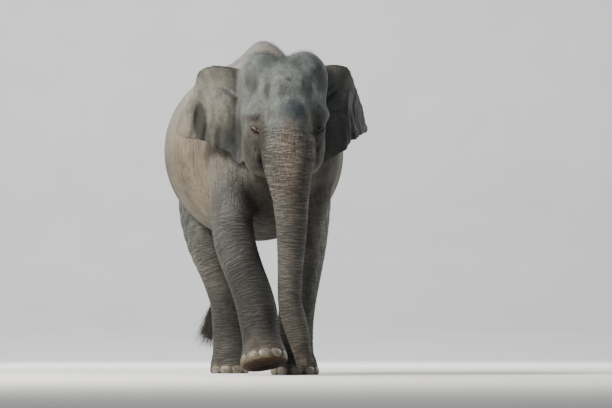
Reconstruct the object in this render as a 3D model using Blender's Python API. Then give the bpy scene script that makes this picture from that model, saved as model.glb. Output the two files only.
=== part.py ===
"""A life-size cow Asian elephant in mid-walk, as closed solids parted by thin cuts.

The elephant faces -Y with +Z up and its own left on +X. The flesh is modelled whole, as a smooth
blend of tubes along the limbs and of rounded masses for the head, then parted where a person
would name its parts. Ears, eyes, nails and the tail's tuft are bodies of their own.
Lengths are in metres. All heights and lengths scale with the height at the shoulder.
"""

import math

import bmesh
import bpy
import numpy as np
from mathutils import Matrix, Vector

SHOULDER_HEIGHT = 2.30          # a grown cow, twice the girth of her forefoot
DRAWN_HEIGHT = 2.30             # the shoulder height that the stations below are written at
SCALE = SHOULDER_HEIGHT / DRAWN_HEIGHT

GAP = 0.0004                    # between two solids that meet
GRID = 0.024                    # cell of the grid that the flesh is drawn on
FLESH_TRIANGLES = 3100          # the flesh as a whole, before it is parted
FAR = 10.0                      # stands for "nowhere near" in the distance field

HEAD_TURN = math.radians(2.5)   # the head looks a little to its left
HEAD_PIVOT = (0.0, -0.95)

# Stations of a tube: x, y, z, half-width, half-depth.
TORSO = (
    (0.00, -0.74, 1.59, 0.32, 0.38),
    (-0.01, -0.56, 1.65, 0.45, 0.54),
    (-0.05, -0.25, 1.675, 0.575, 0.635),
    (-0.100, 0.10, 1.69, 0.645, 0.675),
    (-0.110, 0.42, 1.70, 0.665, 0.665),
    (-0.09, 0.68, 1.70, 0.61, 0.600),
    (-0.03, 0.86, 1.69, 0.49, 0.470),
)
SPINE = (
    (0.00, -0.72, 2.12, 0.15, 0.16),
    (-0.03, -0.30, 2.31, 0.120, 0.145),
    (-0.040, 0.15, 2.385, 0.110, 0.135),
    (-0.040, 0.45, 2.355, 0.115, 0.135),
    (-0.03, 0.80, 2.16, 0.14, 0.140),
    (0.00, 1.04, 1.93, 0.12, 0.130),
)
NECK = (
    (0.00, -0.60, 1.86, 0.36, 0.40),
    (0.00, -0.85, 1.89, 0.31, 0.36),
    (0.00, -1.08, 1.93, 0.29, 0.33),
)
THROAT = (
    (0.00, -0.70, 1.52, 0.24, 0.24),
    (0.00, -1.00, 1.62, 0.18, 0.17),
)
TRUNK = (
    (0.000, -1.300, 1.960, 0.130, 0.130),
    (0.000, -1.355, 1.800, 0.165, 0.150),
    (0.000, -1.385, 1.676, 0.182, 0.163),
    (0.000, -1.400, 1.544, 0.174, 0.158),
    (0.004, -1.405, 1.433, 0.157, 0.148),
    (0.012, -1.405, 1.323, 0.136, 0.134),
    (0.016, -1.405, 1.227, 0.126, 0.124),
    (0.020, -1.405, 1.095, 0.114, 0.114),
    (0.016, -1.400, 0.926, 0.101, 0.102),
    (0.011, -1.390, 0.757, 0.092, 0.094),
    (0.008, -1.385, 0.560, 0.085, 0.088),
    (0.032, -1.390, 0.410, 0.081, 0.083),
    (0.066, -1.405, 0.287, 0.076, 0.076),
    (0.088, -1.430, 0.190, 0.066, 0.066),
    (0.102, -1.465, 0.118, 0.057, 0.053),
)
TAIL = (
    (0.000, 1.10, 1.92, 0.085, 0.080),
    (0.000, 1.22, 1.80, 0.060, 0.055),
    (-0.03, 1.30, 1.50, 0.042, 0.038),
    (-0.11, 1.32, 1.15, 0.032, 0.030),
    (-0.22, 1.31, 0.80, 0.026, 0.024),
    (-0.340, 1.29, 0.52, 0.022, 0.020),
    (-0.368, 1.28, 0.40, 0.018, 0.017),
)
FORE_LEFT = (
    (0.300, -0.58, 1.72, 0.165, 0.260),
    (0.245, -0.61, 1.40, 0.162, 0.225),
    (0.200, -0.60, 1.165, 0.150, 0.195),
    (0.180, -0.60, 0.99, 0.142, 0.175),
    (0.162, -0.61, 0.76, 0.137, 0.160),
    (0.144, -0.62, 0.54, 0.132, 0.156),
    (0.130, -0.61, 0.40, 0.124, 0.140),
    (0.126, -0.605, 0.25, 0.124, 0.138),
    (0.127, -0.61, 0.15, 0.138, 0.153),
    (0.128, -0.62, 0.075, 0.168, 0.176),
    (0.128, -0.625, 0.00, 0.186, 0.188),
)
FORE_RIGHT = (
    (-0.310, -0.62, 1.72, 0.185, 0.260),
    (-0.335, -0.68, 1.40, 0.175, 0.225),
    (-0.350, -0.74, 1.165, 0.158, 0.195),
    (-0.325, -0.82, 0.96, 0.152, 0.175),
    (-0.270, -0.89, 0.78, 0.144, 0.162),
    (-0.215, -0.95, 0.60, 0.138, 0.157),
    (-0.178, -1.00, 0.44, 0.140, 0.148),
    (-0.158, -1.05, 0.30, 0.142, 0.144),
    (-0.146, -1.09, 0.21, 0.150, 0.152),
    (-0.140, -1.13, 0.145, 0.168, 0.170),
    (-0.142, -1.162, 0.075, 0.180, 0.186),
)
HIND_RIGHT = (
    (-0.335, 0.82, 1.58, 0.275, 0.340),
    (-0.410, 0.76, 1.30, 0.250, 0.330),
    (-0.410, 0.68, 1.02, 0.205, 0.260),
    (-0.345, 0.67, 0.78, 0.158, 0.190),
    (-0.292, 0.71, 0.57, 0.128, 0.155),
    (-0.272, 0.75, 0.42, 0.121, 0.143),
    (-0.262, 0.75, 0.28, 0.119, 0.138),
    (-0.258, 0.73, 0.16, 0.126, 0.150),
    (-0.257, 0.71, 0.07, 0.145, 0.172),
    (-0.257, 0.70, 0.00, 0.152, 0.180),
)
HIND_LEFT = (
    (0.290, 0.82, 1.58, 0.250, 0.340),
    (0.315, 0.84, 1.30, 0.215, 0.320),
    (0.325, 0.88, 1.02, 0.180, 0.250),
    (0.320, 0.95, 0.78, 0.148, 0.185),
    (0.312, 1.05, 0.57, 0.126, 0.152),
    (0.306, 1.12, 0.42, 0.120, 0.143),
    (0.304, 1.15, 0.28, 0.119, 0.138),
    (0.302, 1.15, 0.16, 0.126, 0.150),
    (0.300, 1.14, 0.07, 0.145, 0.172),
    (0.300, 1.13, 0.00, 0.152, 0.180),
)
RAISED_SOLE = (-0.142, -1.165, 0.090)
RAISED_NORMAL = Vector((0.135, -0.306, -0.942)).normalized()    # out of the raised foot's sole
LEGS = {"fore_left": FORE_LEFT, "fore_right": FORE_RIGHT,
        "hind_left": HIND_LEFT, "hind_right": HIND_RIGHT}
JAW = (
    (0.00, -1.00, 1.66, 0.205, 0.160),
    (0.00, -1.09, 1.56, 0.175, 0.135),
    (0.00, -1.17, 1.475, 0.125, 0.090),
    (0.00, -1.23, 1.415, 0.060, 0.045),
)

# Rounded masses of the head: centre, radii, how softly they blend. Paired ones are mirrored.
HEAD_MASSES = (
    ((0.00, -1.08, 2.02), (0.310, 0.330, 0.320), 0.06),
    ((0.00, -1.21, 2.04), (0.235, 0.215, 0.240), 0.08),
    ((0.00, -1.325, 1.90), (0.150, 0.160, 0.180), 0.06),
)
PAIRED_MASSES = (
    ((0.152, -1.07, 2.195), (0.172, 0.225, 0.207), 0.045),
    ((0.232, -1.21, 1.935), (0.092, 0.135, 0.085), 0.06),
    ((0.190, -1.08, 1.72), (0.120, 0.200, 0.230), 0.08),
    ((0.205, -1.235, 1.80), (0.080, 0.110, 0.110), 0.05),
    ((0.120, -1.36, 1.62), (0.060, 0.085, 0.130), 0.05),
)
PAIRED_HOLLOWS = (
    ((0.345, -1.315, 2.08), (0.075, 0.140, 0.120), 0.06),
)

# The ear's rim in its own sheet, from the foot of its root round to the top: outward, height.
EAR_RIM = (
    (0.02, 1.565), (0.10, 1.585), (0.19, 1.650), (0.31, 1.725), (0.44, 1.775), (0.545, 1.795),
    (0.555, 1.835), (0.505, 1.960), (0.440, 2.100), (0.365, 2.230), (0.28, 2.285), (0.16, 2.300),
    (0.05, 2.275), (-0.04, 2.225),
)
EAR_ROOT = ((-0.06, 1.62), (-0.07, 2.17))
EAR_AT = (0.300, -0.985)
EAR_SPREAD = {"left": (43.5, 28.0), "right": (46.0, 45.0)}  # degrees from straight back, foot and top
EAR_THICK = 0.024               # at its root; half of that at its rim
EAR_STEPS = 5
EAR_BOW = 0.050                 # how far the sheet bellies forward between root and rim
EAR_FOLD = 0.045                # how far its top rim turns over to the front

EYE_AT = (0.238, -1.318, 1.815)
EYE_OUT = (0.75, -0.66, 0.05)
EYE_RADIUS = 0.0240
EYE_DEPTH = 0.011               # of the ball's centre under the skin

NAIL_WIDTH = {"fore": 0.098, "hind": 0.082}
NAIL_HEIGHT = 0.060
NAIL_DEPTH = 0.034
NAIL_RISE = 0.044               # of the nail's middle over the sole
NAIL_ANGLES = {"fore": (-72, -36, 0, 36, 72), "hind": (-54, -18, 18, 54)}

TUFT = (
    (-0.3688, 1.2797, 0.3965, 0.018, 0.016),
    (-0.374, 1.274, 0.335, 0.032, 0.022),
    (-0.376, 1.270, 0.262, 0.036, 0.024),
    (-0.374, 1.268, 0.185, 0.018, 0.014),
)

# Where the limbs are parted, as heights along their middle line.
TRUNK_CUTS = (1.60, 1.15, 0.72, 0.36, 0.0)
TRUNK_LENGTHS = ("trunk_root", "trunk_middle", "trunk_lower", "trunk_tip")
LEG_CUTS = {
    "fore_left": (1.03, 0.50, -0.05),
    "fore_right": (1.06, 0.50, -0.05),
    "hind_left": (1.06, 0.50, -0.05),
    "hind_right": (1.06, 0.50, -0.05),
}
LEG_LENGTHS = ("upper_leg", "lower_leg")
# Boxes that hold the rest, in the order they are taken: two corners, tip about X in degrees.
BLOCKS = {
    "jaw": ((-0.40, -1.50, 1.33), (0.40, -1.06, 1.60), 14.0),
    "head": ((-0.60, -1.80, 1.50), (0.60, -0.90, 2.70), 5.0),
    "neck": ((-0.80, -1.40, 1.42), (0.80, -0.66, 2.60), 8.0),
}
SLEEVE_GROW = {"trunk": 1.25, "upper_leg": 1.5, "lower_leg": 1.25}
RIM_ROUND = 0.03                # of a sole's edge
FLOOR = 0.010                   # the flesh is cut off flat here, so that three feet stand level

FINISH_OF = {"nail": "nail", "eye": "eye", "tail_tuft": "hair"}   # by how the name starts


def smooth_step(low, high, value):
    """0 below low, 1 above high, and an even S between."""
    t = np.clip((value - low) / (high - low), 0.0, 1.0)
    return t * t * (3.0 - 2.0 * t)


def smooth_union(a, b, blend):
    """The nearer of two distances, rounded off where they are about equal."""
    h = np.clip(0.5 + 0.5 * (b - a) / blend, 0.0, 1.0)
    return b + (a - b) * h - blend * h * (1.0 - h)


def smooth_cut(a, b, blend):
    """Distance a with body b taken away, rounded at the rim."""
    return -smooth_union(-a, b, blend)


def rounded_line(stations, steps):
    """The stations joined by a smooth line, with a number of steps between each two."""
    rows = np.array(stations, dtype=float)
    padded = np.vstack([2 * rows[0] - rows[1], rows, 2 * rows[-1] - rows[-2]])
    line = []
    for i in range(len(rows) - 1):
        p0, p1, p2, p3 = padded[i:i + 4]
        for t in np.arange(steps) / steps:
            line.append(0.5 * (2 * p1 + (p2 - p0) * t + (2 * p0 - 5 * p1 + 4 * p2 - p3) * t * t
                               + (3 * p1 - p0 - 3 * p2 + p3) * t ** 3))
    line.append(rows[-1])
    return np.array(line)


def ellipsoid(points, centre, radii):
    """Distance to a rounded mass."""
    q = points - np.array(centre)
    r = np.array(radii)
    k0 = np.linalg.norm(q / r, axis=1)
    k1 = np.linalg.norm(q / (r * r), axis=1)
    return k0 * (k0 - 1.0) / np.maximum(k1, 1e-6)


def tube(points, stations, steps=3):
    """Distance to a tube of oval section, whose width lies along X."""
    line = rounded_line(stations, steps)
    best = np.full(len(points), FAR)
    for start, end in zip(line[:-1], line[1:]):
        run = end[:3] - start[:3]
        length = np.linalg.norm(run)
        along = run / length
        side = np.array((1.0, 0.0, 0.0)) - along[0] * along
        side /= np.linalg.norm(side)
        deep = np.cross(along, side)
        q = points - start[:3]
        t = np.clip(q @ along / length, 0.0, 1.0)
        q = q - t[:, None] * run
        wide = start[3] + t * (end[3] - start[3])
        thick = start[4] + t * (end[4] - start[4])
        cap = np.minimum(wide, thick)
        size = np.sqrt((q @ side / wide) ** 2 + (q @ deep / thick) ** 2 + (q @ along / cap) ** 2)
        reach = np.linalg.norm(q, axis=1)
        best = np.minimum(best, reach - np.where(size > 1e-4, reach / np.maximum(size, 1e-4), cap))
    return best


def turn_head(points):
    """Points of the world in the straight head's own frame."""
    cos, sin = math.cos(HEAD_TURN), math.sin(HEAD_TURN)
    x = points[:, 0] - HEAD_PIVOT[0]
    y = points[:, 1] - HEAD_PIVOT[1]
    turned = points.copy()
    turned[:, 0] = HEAD_PIVOT[0] + cos * x + sin * y
    turned[:, 1] = HEAD_PIVOT[1] - sin * x + cos * y
    return turned


def place_on_head(point):
    """A point of the straight head's frame, in the world."""
    pivot = Vector((*HEAD_PIVOT, 0.0))
    return Matrix.Rotation(HEAD_TURN, 3, "Z") @ (Vector(point) - pivot) + pivot


def above_sole(points):
    """Height over the raised foot's sole, square to it."""
    return (np.array(RAISED_SOLE) - points) @ np.array(RAISED_NORMAL)


def flesh(points):
    """Distance from the elephant's skin, without the ears: negative inside."""
    z = points[:, 2]
    body = tube(points, TORSO, 2)
    body = smooth_union(body, tube(points, SPINE, 2), 0.12)
    body = smooth_union(body, tube(points, NECK, 2), 0.16)
    body = smooth_union(body, tube(points, THROAT, 2), 0.12)
    limb_blend = 0.02 + 0.10 * smooth_step(0.85, 1.35, z)
    for leg in (FORE_LEFT, HIND_RIGHT, HIND_LEFT):
        body = smooth_union(body, smooth_cut(tube(points, leg), z, RIM_ROUND), limb_blend)
    raised = smooth_cut(tube(points, FORE_RIGHT), above_sole(points), RIM_ROUND)
    body = smooth_union(body, raised, limb_blend)

    own = turn_head(points)
    mirrored = own.copy()
    mirrored[:, 0] = np.abs(own[:, 0])
    head = tube(own, JAW)
    for centre, radii, blend in HEAD_MASSES:
        head = smooth_union(head, ellipsoid(own, centre, radii), blend)
    for centre, radii, blend in PAIRED_MASSES:
        head = smooth_union(head, ellipsoid(mirrored, centre, radii), blend)
    for centre, radii, blend in PAIRED_HOLLOWS:
        head = smooth_cut(head, ellipsoid(mirrored, centre, radii), blend)
    trunk_blend = 0.06 + 0.03 * smooth_step(1.48, 1.70, z)
    head = smooth_union(head, tube(own, TRUNK), trunk_blend)
    neck_blend = 0.015 + 0.10 * smooth_step(-1.32, -1.05, points[:, 1]) * smooth_step(1.70, 1.95, z)
    return smooth_union(body, head, neck_blend)


def drawn_surface(field, low, high, cell):
    """Vertices and quads of the field's zero, one vertex to each cell that it crosses."""
    counts = np.ceil((np.array(high) - np.array(low)) / cell).astype(int) + 1
    axes = [low[i] + cell * np.arange(counts[i]) for i in range(3)]
    values = np.empty(counts)
    for i, x in enumerate(axes[0]):
        sheet = np.stack(np.meshgrid([x], axes[1], axes[2], indexing="ij"), axis=-1)
        values[i] = field(sheet.reshape(-1, 3)).reshape(counts[1:])
    inside = values < 0.0

    corner = [(i, j, k) for i in (0, 1) for j in (0, 1) for k in (0, 1)]
    cells = counts - 1
    window = [tuple(slice(c[a], c[a] + cells[a]) for a in range(3)) for c in corner]
    filled = sum(inside[w].astype(np.int8) for w in window)
    crossed = np.argwhere((filled > 0) & (filled < 8))
    number = np.full(cells, -1, dtype=int)
    number[tuple(crossed.T)] = np.arange(len(crossed))

    total = np.zeros((len(crossed), 3))
    hits = np.zeros(len(crossed))
    for a, first in enumerate(corner):
        for second in corner[a + 1:]:
            if sum(abs(p - q) for p, q in zip(first, second)) != 1:
                continue
            v0 = values[tuple((crossed + first).T)]
            v1 = values[tuple((crossed + second).T)]
            hit = (v0 < 0.0) != (v1 < 0.0)
            t = np.where(hit, v0 / np.where(hit, v0 - v1, 1.0), 0.0)
            spot = np.array(first) + t[:, None] * (np.array(second) - np.array(first))
            total += np.where(hit[:, None], spot, 0.0)
            hits += hit
    points = np.array(low) + cell * (crossed + total / hits[:, None])

    quads = []
    for axis in range(3):
        u, v = (axis + 1) % 3, (axis + 2) % 3
        here = np.moveaxis(inside, axis, 0)
        change = np.argwhere(np.moveaxis(here[:-1] != here[1:], 0, axis))
        change = change[(change[:, u] > 0) & (change[:, v] > 0)]
        step_u, step_v = np.eye(3, dtype=int)[u], np.eye(3, dtype=int)[v]
        ring = [number[tuple((change - s).T)] for s in (0 * step_u, step_u, step_u + step_v, step_v)]
        quad = np.stack(ring, axis=1)
        outward = inside[tuple(change.T)]
        quads.append(np.where(outward[:, None], quad, quad[:, ::-1]))
    return points, np.vstack(quads)


def material(name, colour, roughness):
    """A plain finish of this linear colour."""
    made = bpy.data.materials.new(name)
    made.use_nodes = True
    shader = made.node_tree.nodes["Principled BSDF"]
    shader.inputs["Base Color"].default_value = (*colour, 1.0)
    shader.inputs["Roughness"].default_value = roughness
    shader.inputs["Metallic"].default_value = 0.0
    return made


def new_object(name, mesh, finish=None):
    """An object of this mesh in the scene, wearing the finish if there is one."""
    obj = bpy.data.objects.new(name, mesh)
    bpy.context.scene.collection.objects.link(obj)
    if finish is not None:
        mesh.materials.clear()
        mesh.materials.append(finish)
    return obj


def mesh_from(name, points, faces):
    """A mesh of these points and faces."""
    mesh = bpy.data.meshes.new(name)
    mesh.from_pydata([tuple(p) for p in points], [], [tuple(int(i) for i in f) for f in faces])
    mesh.validate()
    mesh.update()
    return mesh


def evaluated_mesh(obj, name):
    """A plain mesh of the object with its modifiers applied, in world space."""
    bpy.context.view_layer.update()
    made = bpy.data.meshes.new_from_object(obj.evaluated_get(bpy.context.evaluated_depsgraph_get()))
    made.transform(obj.matrix_world)
    made.name = name
    return made


def thinned(mesh, triangles):
    """The mesh with about this many triangles, fewest where it is flattest."""
    obj = new_object("thinning", mesh)
    count = sum(len(p.vertices) - 2 for p in mesh.polygons)
    lighter = obj.modifiers.new("thin", "DECIMATE")
    lighter.ratio = triangles / count
    made = evaluated_mesh(obj, "thinned")
    bpy.data.objects.remove(obj)
    return made


def combined(mesh, cutters, operation):
    """The mesh joined with, cut by or kept inside each of these meshes in turn."""
    obj = new_object("worked", mesh)
    tools = []
    for cutter in cutters:
        tool = new_object("cutter", cutter)
        tools.append(tool)
        step = obj.modifiers.new("step", "BOOLEAN")
        step.operation = operation
        step.solver = "EXACT"
        step.object = tool
    made = evaluated_mesh(obj, "combined")
    for tool in [obj, *tools]:
        bpy.data.objects.remove(tool)
    return made


def block(low, high, tip=0.0, grow=0.0):
    """A closed box between two corners, tipped about X by some degrees."""
    low, high = Vector(low), Vector(high)
    size = high - low
    made = bmesh.new()
    bmesh.ops.create_cube(made, size=1.0)
    placed = Matrix.Translation((low + high) / 2) @ Matrix.Rotation(math.radians(tip), 4, "X")
    scaled = Matrix.Diagonal((size.x + 2 * grow, size.y + 2 * grow, size.z + 2 * grow, 1.0))
    bmesh.ops.transform(made, matrix=placed @ scaled, verts=made.verts)
    return finished(made, "block")


def ball(centre, radii, turn, rings, sectors):
    """A closed rounded mass, turned by a matrix."""
    made = bmesh.new()
    bmesh.ops.create_uvsphere(made, u_segments=sectors, v_segments=rings, radius=1.0)
    matrix = Matrix.Translation(centre) @ turn.to_4x4() @ Matrix.Diagonal((*radii, 1.0))
    bmesh.ops.transform(made, matrix=matrix, verts=made.verts)
    return finished(made, "ball")


def finished(made, name):
    """The bmesh as a mesh with its faces pointing out."""
    bmesh.ops.recalc_face_normals(made, faces=made.faces)
    mesh = bpy.data.meshes.new(name)
    made.to_mesh(mesh)
    made.free()
    return mesh


def add_quad(made, a, b, c, d):
    """Two triangles for a bent quad, split the same way however much the body is grown."""
    made.faces.new((a, b, c))
    made.faces.new((a, c, d))


def ringed(line, runs, sides, wide=1.0, grow=0.0, place=Vector):
    """A closed tube of flat ends along rows of x, y, z, half-width and half-depth."""
    made = bmesh.new()
    loops = []
    for row, run in zip(line, runs):
        along = Vector(run).normalized()
        side = (Vector((1.0, 0.0, 0.0)) - along.x * along).normalized()
        deep = along.cross(side)
        loop = []
        for i in range(sides):
            turn = math.tau * i / sides
            spot = Vector(row[:3]) + side * (math.cos(turn) * (row[3] * wide + grow)) \
                + deep * (math.sin(turn) * (row[4] * wide + grow))
            loop.append(made.verts.new(place(spot)))
        loops.append(loop)
    for lower, upper in zip(loops[:-1], loops[1:]):
        for i in range(sides):
            j = (i + 1) % sides
            add_quad(made, lower[i], lower[j], upper[j], upper[i])
    made.faces.new(loops[0])
    made.faces.new(loops[-1])
    return finished(made, "tube")


def whole_limb(stations, sides, grow=0.0):
    """A closed tube along all of a line of stations."""
    line = rounded_line(stations, 2)
    runs = np.gradient(line[:, :3], axis=0)
    for end, way in ((0, -1), (-1, 1)):
        line[end, :3] += way * grow * runs[end] / np.linalg.norm(runs[end])
    return ringed(line, runs, sides, 1.0, grow)


def sleeve(stations, top, bottom, wide, grow=0.0, place=Vector):
    """A tube that holds a limb between two heights, wider than the limb, with flat ends."""
    line = rounded_line(stations, 4)
    runs = np.gradient(line[:, :3], axis=0)
    runs /= np.linalg.norm(runs, axis=1)[:, None]
    rows = np.hstack([line, runs])
    order = np.argsort(line[:, 2])
    kept = rows[(line[:, 2] < top - 0.012) & (line[:, 2] > bottom + 0.012)]
    ends = []
    for height, way in ((top, -1), (bottom, 1)):
        row = np.array([np.interp(height, line[order, 2], rows[order, i]) for i in range(8)])
        row[2] = height
        row[:3] += way * grow * row[5:]
        ends.append(row)
    rows = np.vstack([ends[0], kept, ends[1]])
    return ringed(rows[:, :5], rows[:, 5:], 12, wide, grow, place)


def taken(flesh_left, cutter):
    """One piece of the flesh, and what is left of it: the cutter is a function of its growth."""
    piece = combined(flesh_left, [cutter(0.0)], "INTERSECT")
    return piece, combined(flesh_left, [cutter(GAP)], "DIFFERENCE")


def seated(spot, outward, depth, field):
    """The point along a line through spot that lies this deep in the field."""
    spot, outward = np.array(spot), np.array(outward) / np.linalg.norm(outward)
    reach = np.linspace(-0.08, 0.08, 321)
    depths = field(spot + reach[:, None] * outward)
    last = np.nonzero(depths < -depth)[0][-1]
    return Vector(spot + reach[last] * outward)


def ear(side, grow=0.0):
    """One ear: a bowed sheet, thickest at its root, with its top rim turned over."""
    way = 1.0 if side == "left" else -1.0
    low_spread, high_spread = (math.radians(a) for a in EAR_SPREAD[side])
    rim = np.array(EAR_RIM)
    rim += grow * np.sign(rim - rim.mean(axis=0))
    share = np.linspace(0.0, 1.0, len(rim))
    root = np.outer(1 - share, EAR_ROOT[0]) + np.outer(share, EAR_ROOT[1])
    root[:, 0] -= grow
    root[:, 1] += grow * np.sign(share - 0.5)
    made = bmesh.new()
    corner = {}
    for i in range(len(rim)):
        for j in range(EAR_STEPS + 1):
            t = j / EAR_STEPS
            s, z = root[i] + t * (rim[i] - root[i])
            spread = low_spread + (high_spread - low_spread) * float(smooth_step(1.75, 2.25, z))
            out = Vector((math.sin(spread), math.cos(spread), 0.0))
            front = Vector((math.cos(spread), -math.sin(spread), 0.0))
            bow = EAR_BOW * math.sin(math.pi * min(max(s, 0.0) / 0.5, 1.0))
            fold = EAR_FOLD * float(smooth_step(2.17, 2.30, z)) * t
            half = EAR_THICK * (1.0 - 0.5 * t) / 2 + grow
            for face in (-1, 1):
                spot = Vector((*EAR_AT, z)) + out * s + front * (bow + fold + face * half)
                spot.x *= way
                corner[face, i, j] = made.verts.new(place_on_head(spot))
    last = len(rim) - 1
    for i in range(last):
        for j in range(EAR_STEPS):
            for face in (-1, 1):
                add_quad(made, *(corner[face, a, b] for a, b in
                                 ((i, j), (i + 1, j), (i + 1, j + 1), (i, j + 1))))
        for j in (0, EAR_STEPS):
            add_quad(made, *(corner[f, a, j] for f, a in ((-1, i), (1, i), (1, i + 1), (-1, i + 1))))
    for i in (0, last):
        for j in range(EAR_STEPS):
            add_quad(made, *(corner[f, i, b] for f, b in ((-1, j), (1, j), (1, j + 1), (-1, j + 1))))
    return finished(made, "ear")


def nail_places(leg, stations):
    """Each nail's middle, its outward direction and its tip along the sole, for one foot."""
    kind = leg.split("_")[0]
    foot = rounded_line(stations, 3)[-1]
    lean = Matrix.Identity(3)
    sole = Vector((foot[0], foot[1], 0.0))
    if leg == "fore_right":
        lean = Vector((0.0, 0.0, -1.0)).rotation_difference(RAISED_NORMAL).to_matrix()
        sole = Vector(RAISED_SOLE)
    for degrees in NAIL_ANGLES[kind]:
        angle = math.radians(degrees)
        outward = Vector((math.sin(angle), -math.cos(angle), 0.0))
        rim = Vector((outward.x * foot[3], outward.y * foot[4], NAIL_RISE))
        yield degrees, sole + lean @ rim, lean @ outward, lean


def nails(leg, stations):
    """The nails of one foot by name, each as a function of its growth."""
    kind = leg.split("_")[0]
    made = {}
    for number, (degrees, spot, outward, lean) in enumerate(nail_places(leg, stations), 1):
        seat = seated(spot, outward, 0.006, flesh)
        turn = lean @ Matrix.Rotation(math.radians(degrees), 3, "Z")
        size = (NAIL_WIDTH[kind] / 2, NAIL_DEPTH / 2, NAIL_HEIGHT / 2)

        def nail(grow, seat=seat, turn=turn, size=size):
            return ball(seat, [r + grow for r in size], turn, 4, 8)

        made[f"nail_{leg}_{number}"] = nail
    return made


def eye(side):
    """One eyeball as a function of its growth."""
    way = 1.0 if side == "left" else -1.0
    spot = place_on_head((way * EYE_AT[0], EYE_AT[1], EYE_AT[2]))
    outward = place_on_head(Vector((way * EYE_OUT[0], EYE_OUT[1], EYE_OUT[2]))) - place_on_head((0, 0, 0))
    seat = seated(spot, outward, EYE_DEPTH, flesh)

    def eyeball(grow):
        return ball(seat, [EYE_RADIUS + grow] * 3, Matrix.Identity(3), 7, 10)

    return eyeball


def parted():
    """Every solid of the elephant by name."""
    points, quads = drawn_surface(flesh, (-0.95, -1.70, -2.5 * GRID), (0.75, 1.45, 2.60), GRID)
    left = thinned(mesh_from("flesh", points, quads), FLESH_TRIANGLES)
    left = combined(left, [block((-1.0, -2.0, -0.1), (1.0, 2.0, FLOOR))], "DIFFERENCE")
    made = {}
    for leg, stations in LEGS.items():
        cuts = LEG_CUTS[leg]
        for part, top, bottom in reversed(list(zip(LEG_LENGTHS, cuts[:-1], cuts[1:]))):
            made[f"{leg}_{part}"], left = taken(
                left, lambda grow: sleeve(stations, top, bottom, SLEEVE_GROW[part], grow))
    for name, top, bottom in reversed(list(zip(TRUNK_LENGTHS, TRUNK_CUTS[:-1], TRUNK_CUTS[1:]))):
        made[name], left = taken(
            left, lambda grow: sleeve(TRUNK, top, bottom, SLEEVE_GROW["trunk"], grow, place_on_head))
    for name, (low, high, tip) in BLOCKS.items():
        made[name], left = taken(left, lambda grow: block(low, high, tip, grow))
    made["torso"] = left

    for leg, stations in LEGS.items():
        pieces = nails(leg, stations)
        foot = f"{leg}_lower_leg"
        made[foot] = combined(made[foot], [nail(GAP) for nail in pieces.values()], "DIFFERENCE")
        made.update({name: nail(0.0) for name, nail in pieces.items()})
    for side in ("left", "right"):
        eyeball = eye(side)
        made["head"] = combined(made["head"], [eyeball(GAP)], "DIFFERENCE")
        made[f"eye_{side}"] = eyeball(0.0)
        made[f"ear_{side}"] = ear(side)
        for name in ("head", "neck"):
            made[name] = combined(made[name], [ear(side, GAP)], "DIFFERENCE")
    made["tail"] = whole_limb(TAIL, 10)
    made["torso"] = combined(made["torso"], [whole_limb(TAIL, 10, GAP)], "DIFFERENCE")
    made["tail_tuft"] = whole_limb(TUFT, 8)
    return made


def finish_name(name):
    """Which finish a solid of this name wears."""
    kinds = [kind for start, kind in FINISH_OF.items() if name.startswith(start)]
    return kinds[0] if kinds else "skin"


def build():
    """Makes the elephant's solids, each in its own object, with the feet on the floor."""
    for old in list(bpy.data.objects):
        bpy.data.objects.remove(old)
    finishes = {
        "skin": material("skin", (0.235, 0.215, 0.185), 0.82),
        "nail": material("nail", (0.42, 0.36, 0.29), 0.55),
        "eye": material("eye", (0.035, 0.018, 0.010), 0.12),
        "hair": material("hair", (0.020, 0.018, 0.016), 0.60),
    }
    made = parted()
    spots = np.array([tuple(v.co) for mesh in made.values() for v in mesh.vertices])
    middle = (spots.min(axis=0) + spots.max(axis=0)) / 2
    moved = Matrix.Scale(SCALE, 4) @ Matrix.Translation((-middle[0], -middle[1], -spots[:, 2].min()))
    for name, mesh in made.items():
        mesh.transform(moved)
        mesh.name = name
        new_object(name, mesh, finishes[finish_name(name)])
        mesh.shade_smooth()
        mesh.set_sharp_from_angle(angle=math.radians(50))


if __name__ == "__main__":
    build()
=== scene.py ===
"""The looks of a life-size museum model of a cow Asian elephant in mid-walk.

One skin stands for all the nodes of flesh. It is drawn as the zero of a distance field that blends
tubes along the limbs, rounded masses of the head and two bowed ear sheets, and is then creased,
lidded and folded. Eyes, nails and hair are pieces of their own.
Lengths are metres. The elephant faces -Y, with its own left on +X. The anatomy is written in its
own frame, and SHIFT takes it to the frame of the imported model.
"""

import logging
import math
from dataclasses import dataclass, field, replace
from enum import Enum
from typing import Iterable

import bmesh
import bpy
import numpy as np
from mathutils import Matrix, Vector

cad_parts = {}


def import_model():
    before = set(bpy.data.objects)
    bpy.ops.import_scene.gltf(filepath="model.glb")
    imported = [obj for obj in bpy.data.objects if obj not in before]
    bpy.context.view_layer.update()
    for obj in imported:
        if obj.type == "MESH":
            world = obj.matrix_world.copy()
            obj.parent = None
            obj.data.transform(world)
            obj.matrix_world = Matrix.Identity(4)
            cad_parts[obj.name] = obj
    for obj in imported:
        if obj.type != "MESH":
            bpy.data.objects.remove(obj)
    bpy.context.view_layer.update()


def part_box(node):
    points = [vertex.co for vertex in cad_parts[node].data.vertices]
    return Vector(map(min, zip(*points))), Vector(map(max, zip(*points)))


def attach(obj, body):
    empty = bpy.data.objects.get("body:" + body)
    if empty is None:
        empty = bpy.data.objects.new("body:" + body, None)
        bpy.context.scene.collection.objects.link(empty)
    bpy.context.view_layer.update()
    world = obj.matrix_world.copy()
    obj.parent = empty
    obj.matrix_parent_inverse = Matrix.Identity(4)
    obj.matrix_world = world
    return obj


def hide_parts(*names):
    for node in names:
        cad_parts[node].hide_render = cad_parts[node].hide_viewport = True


log = logging.getLogger("elephant")

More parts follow.
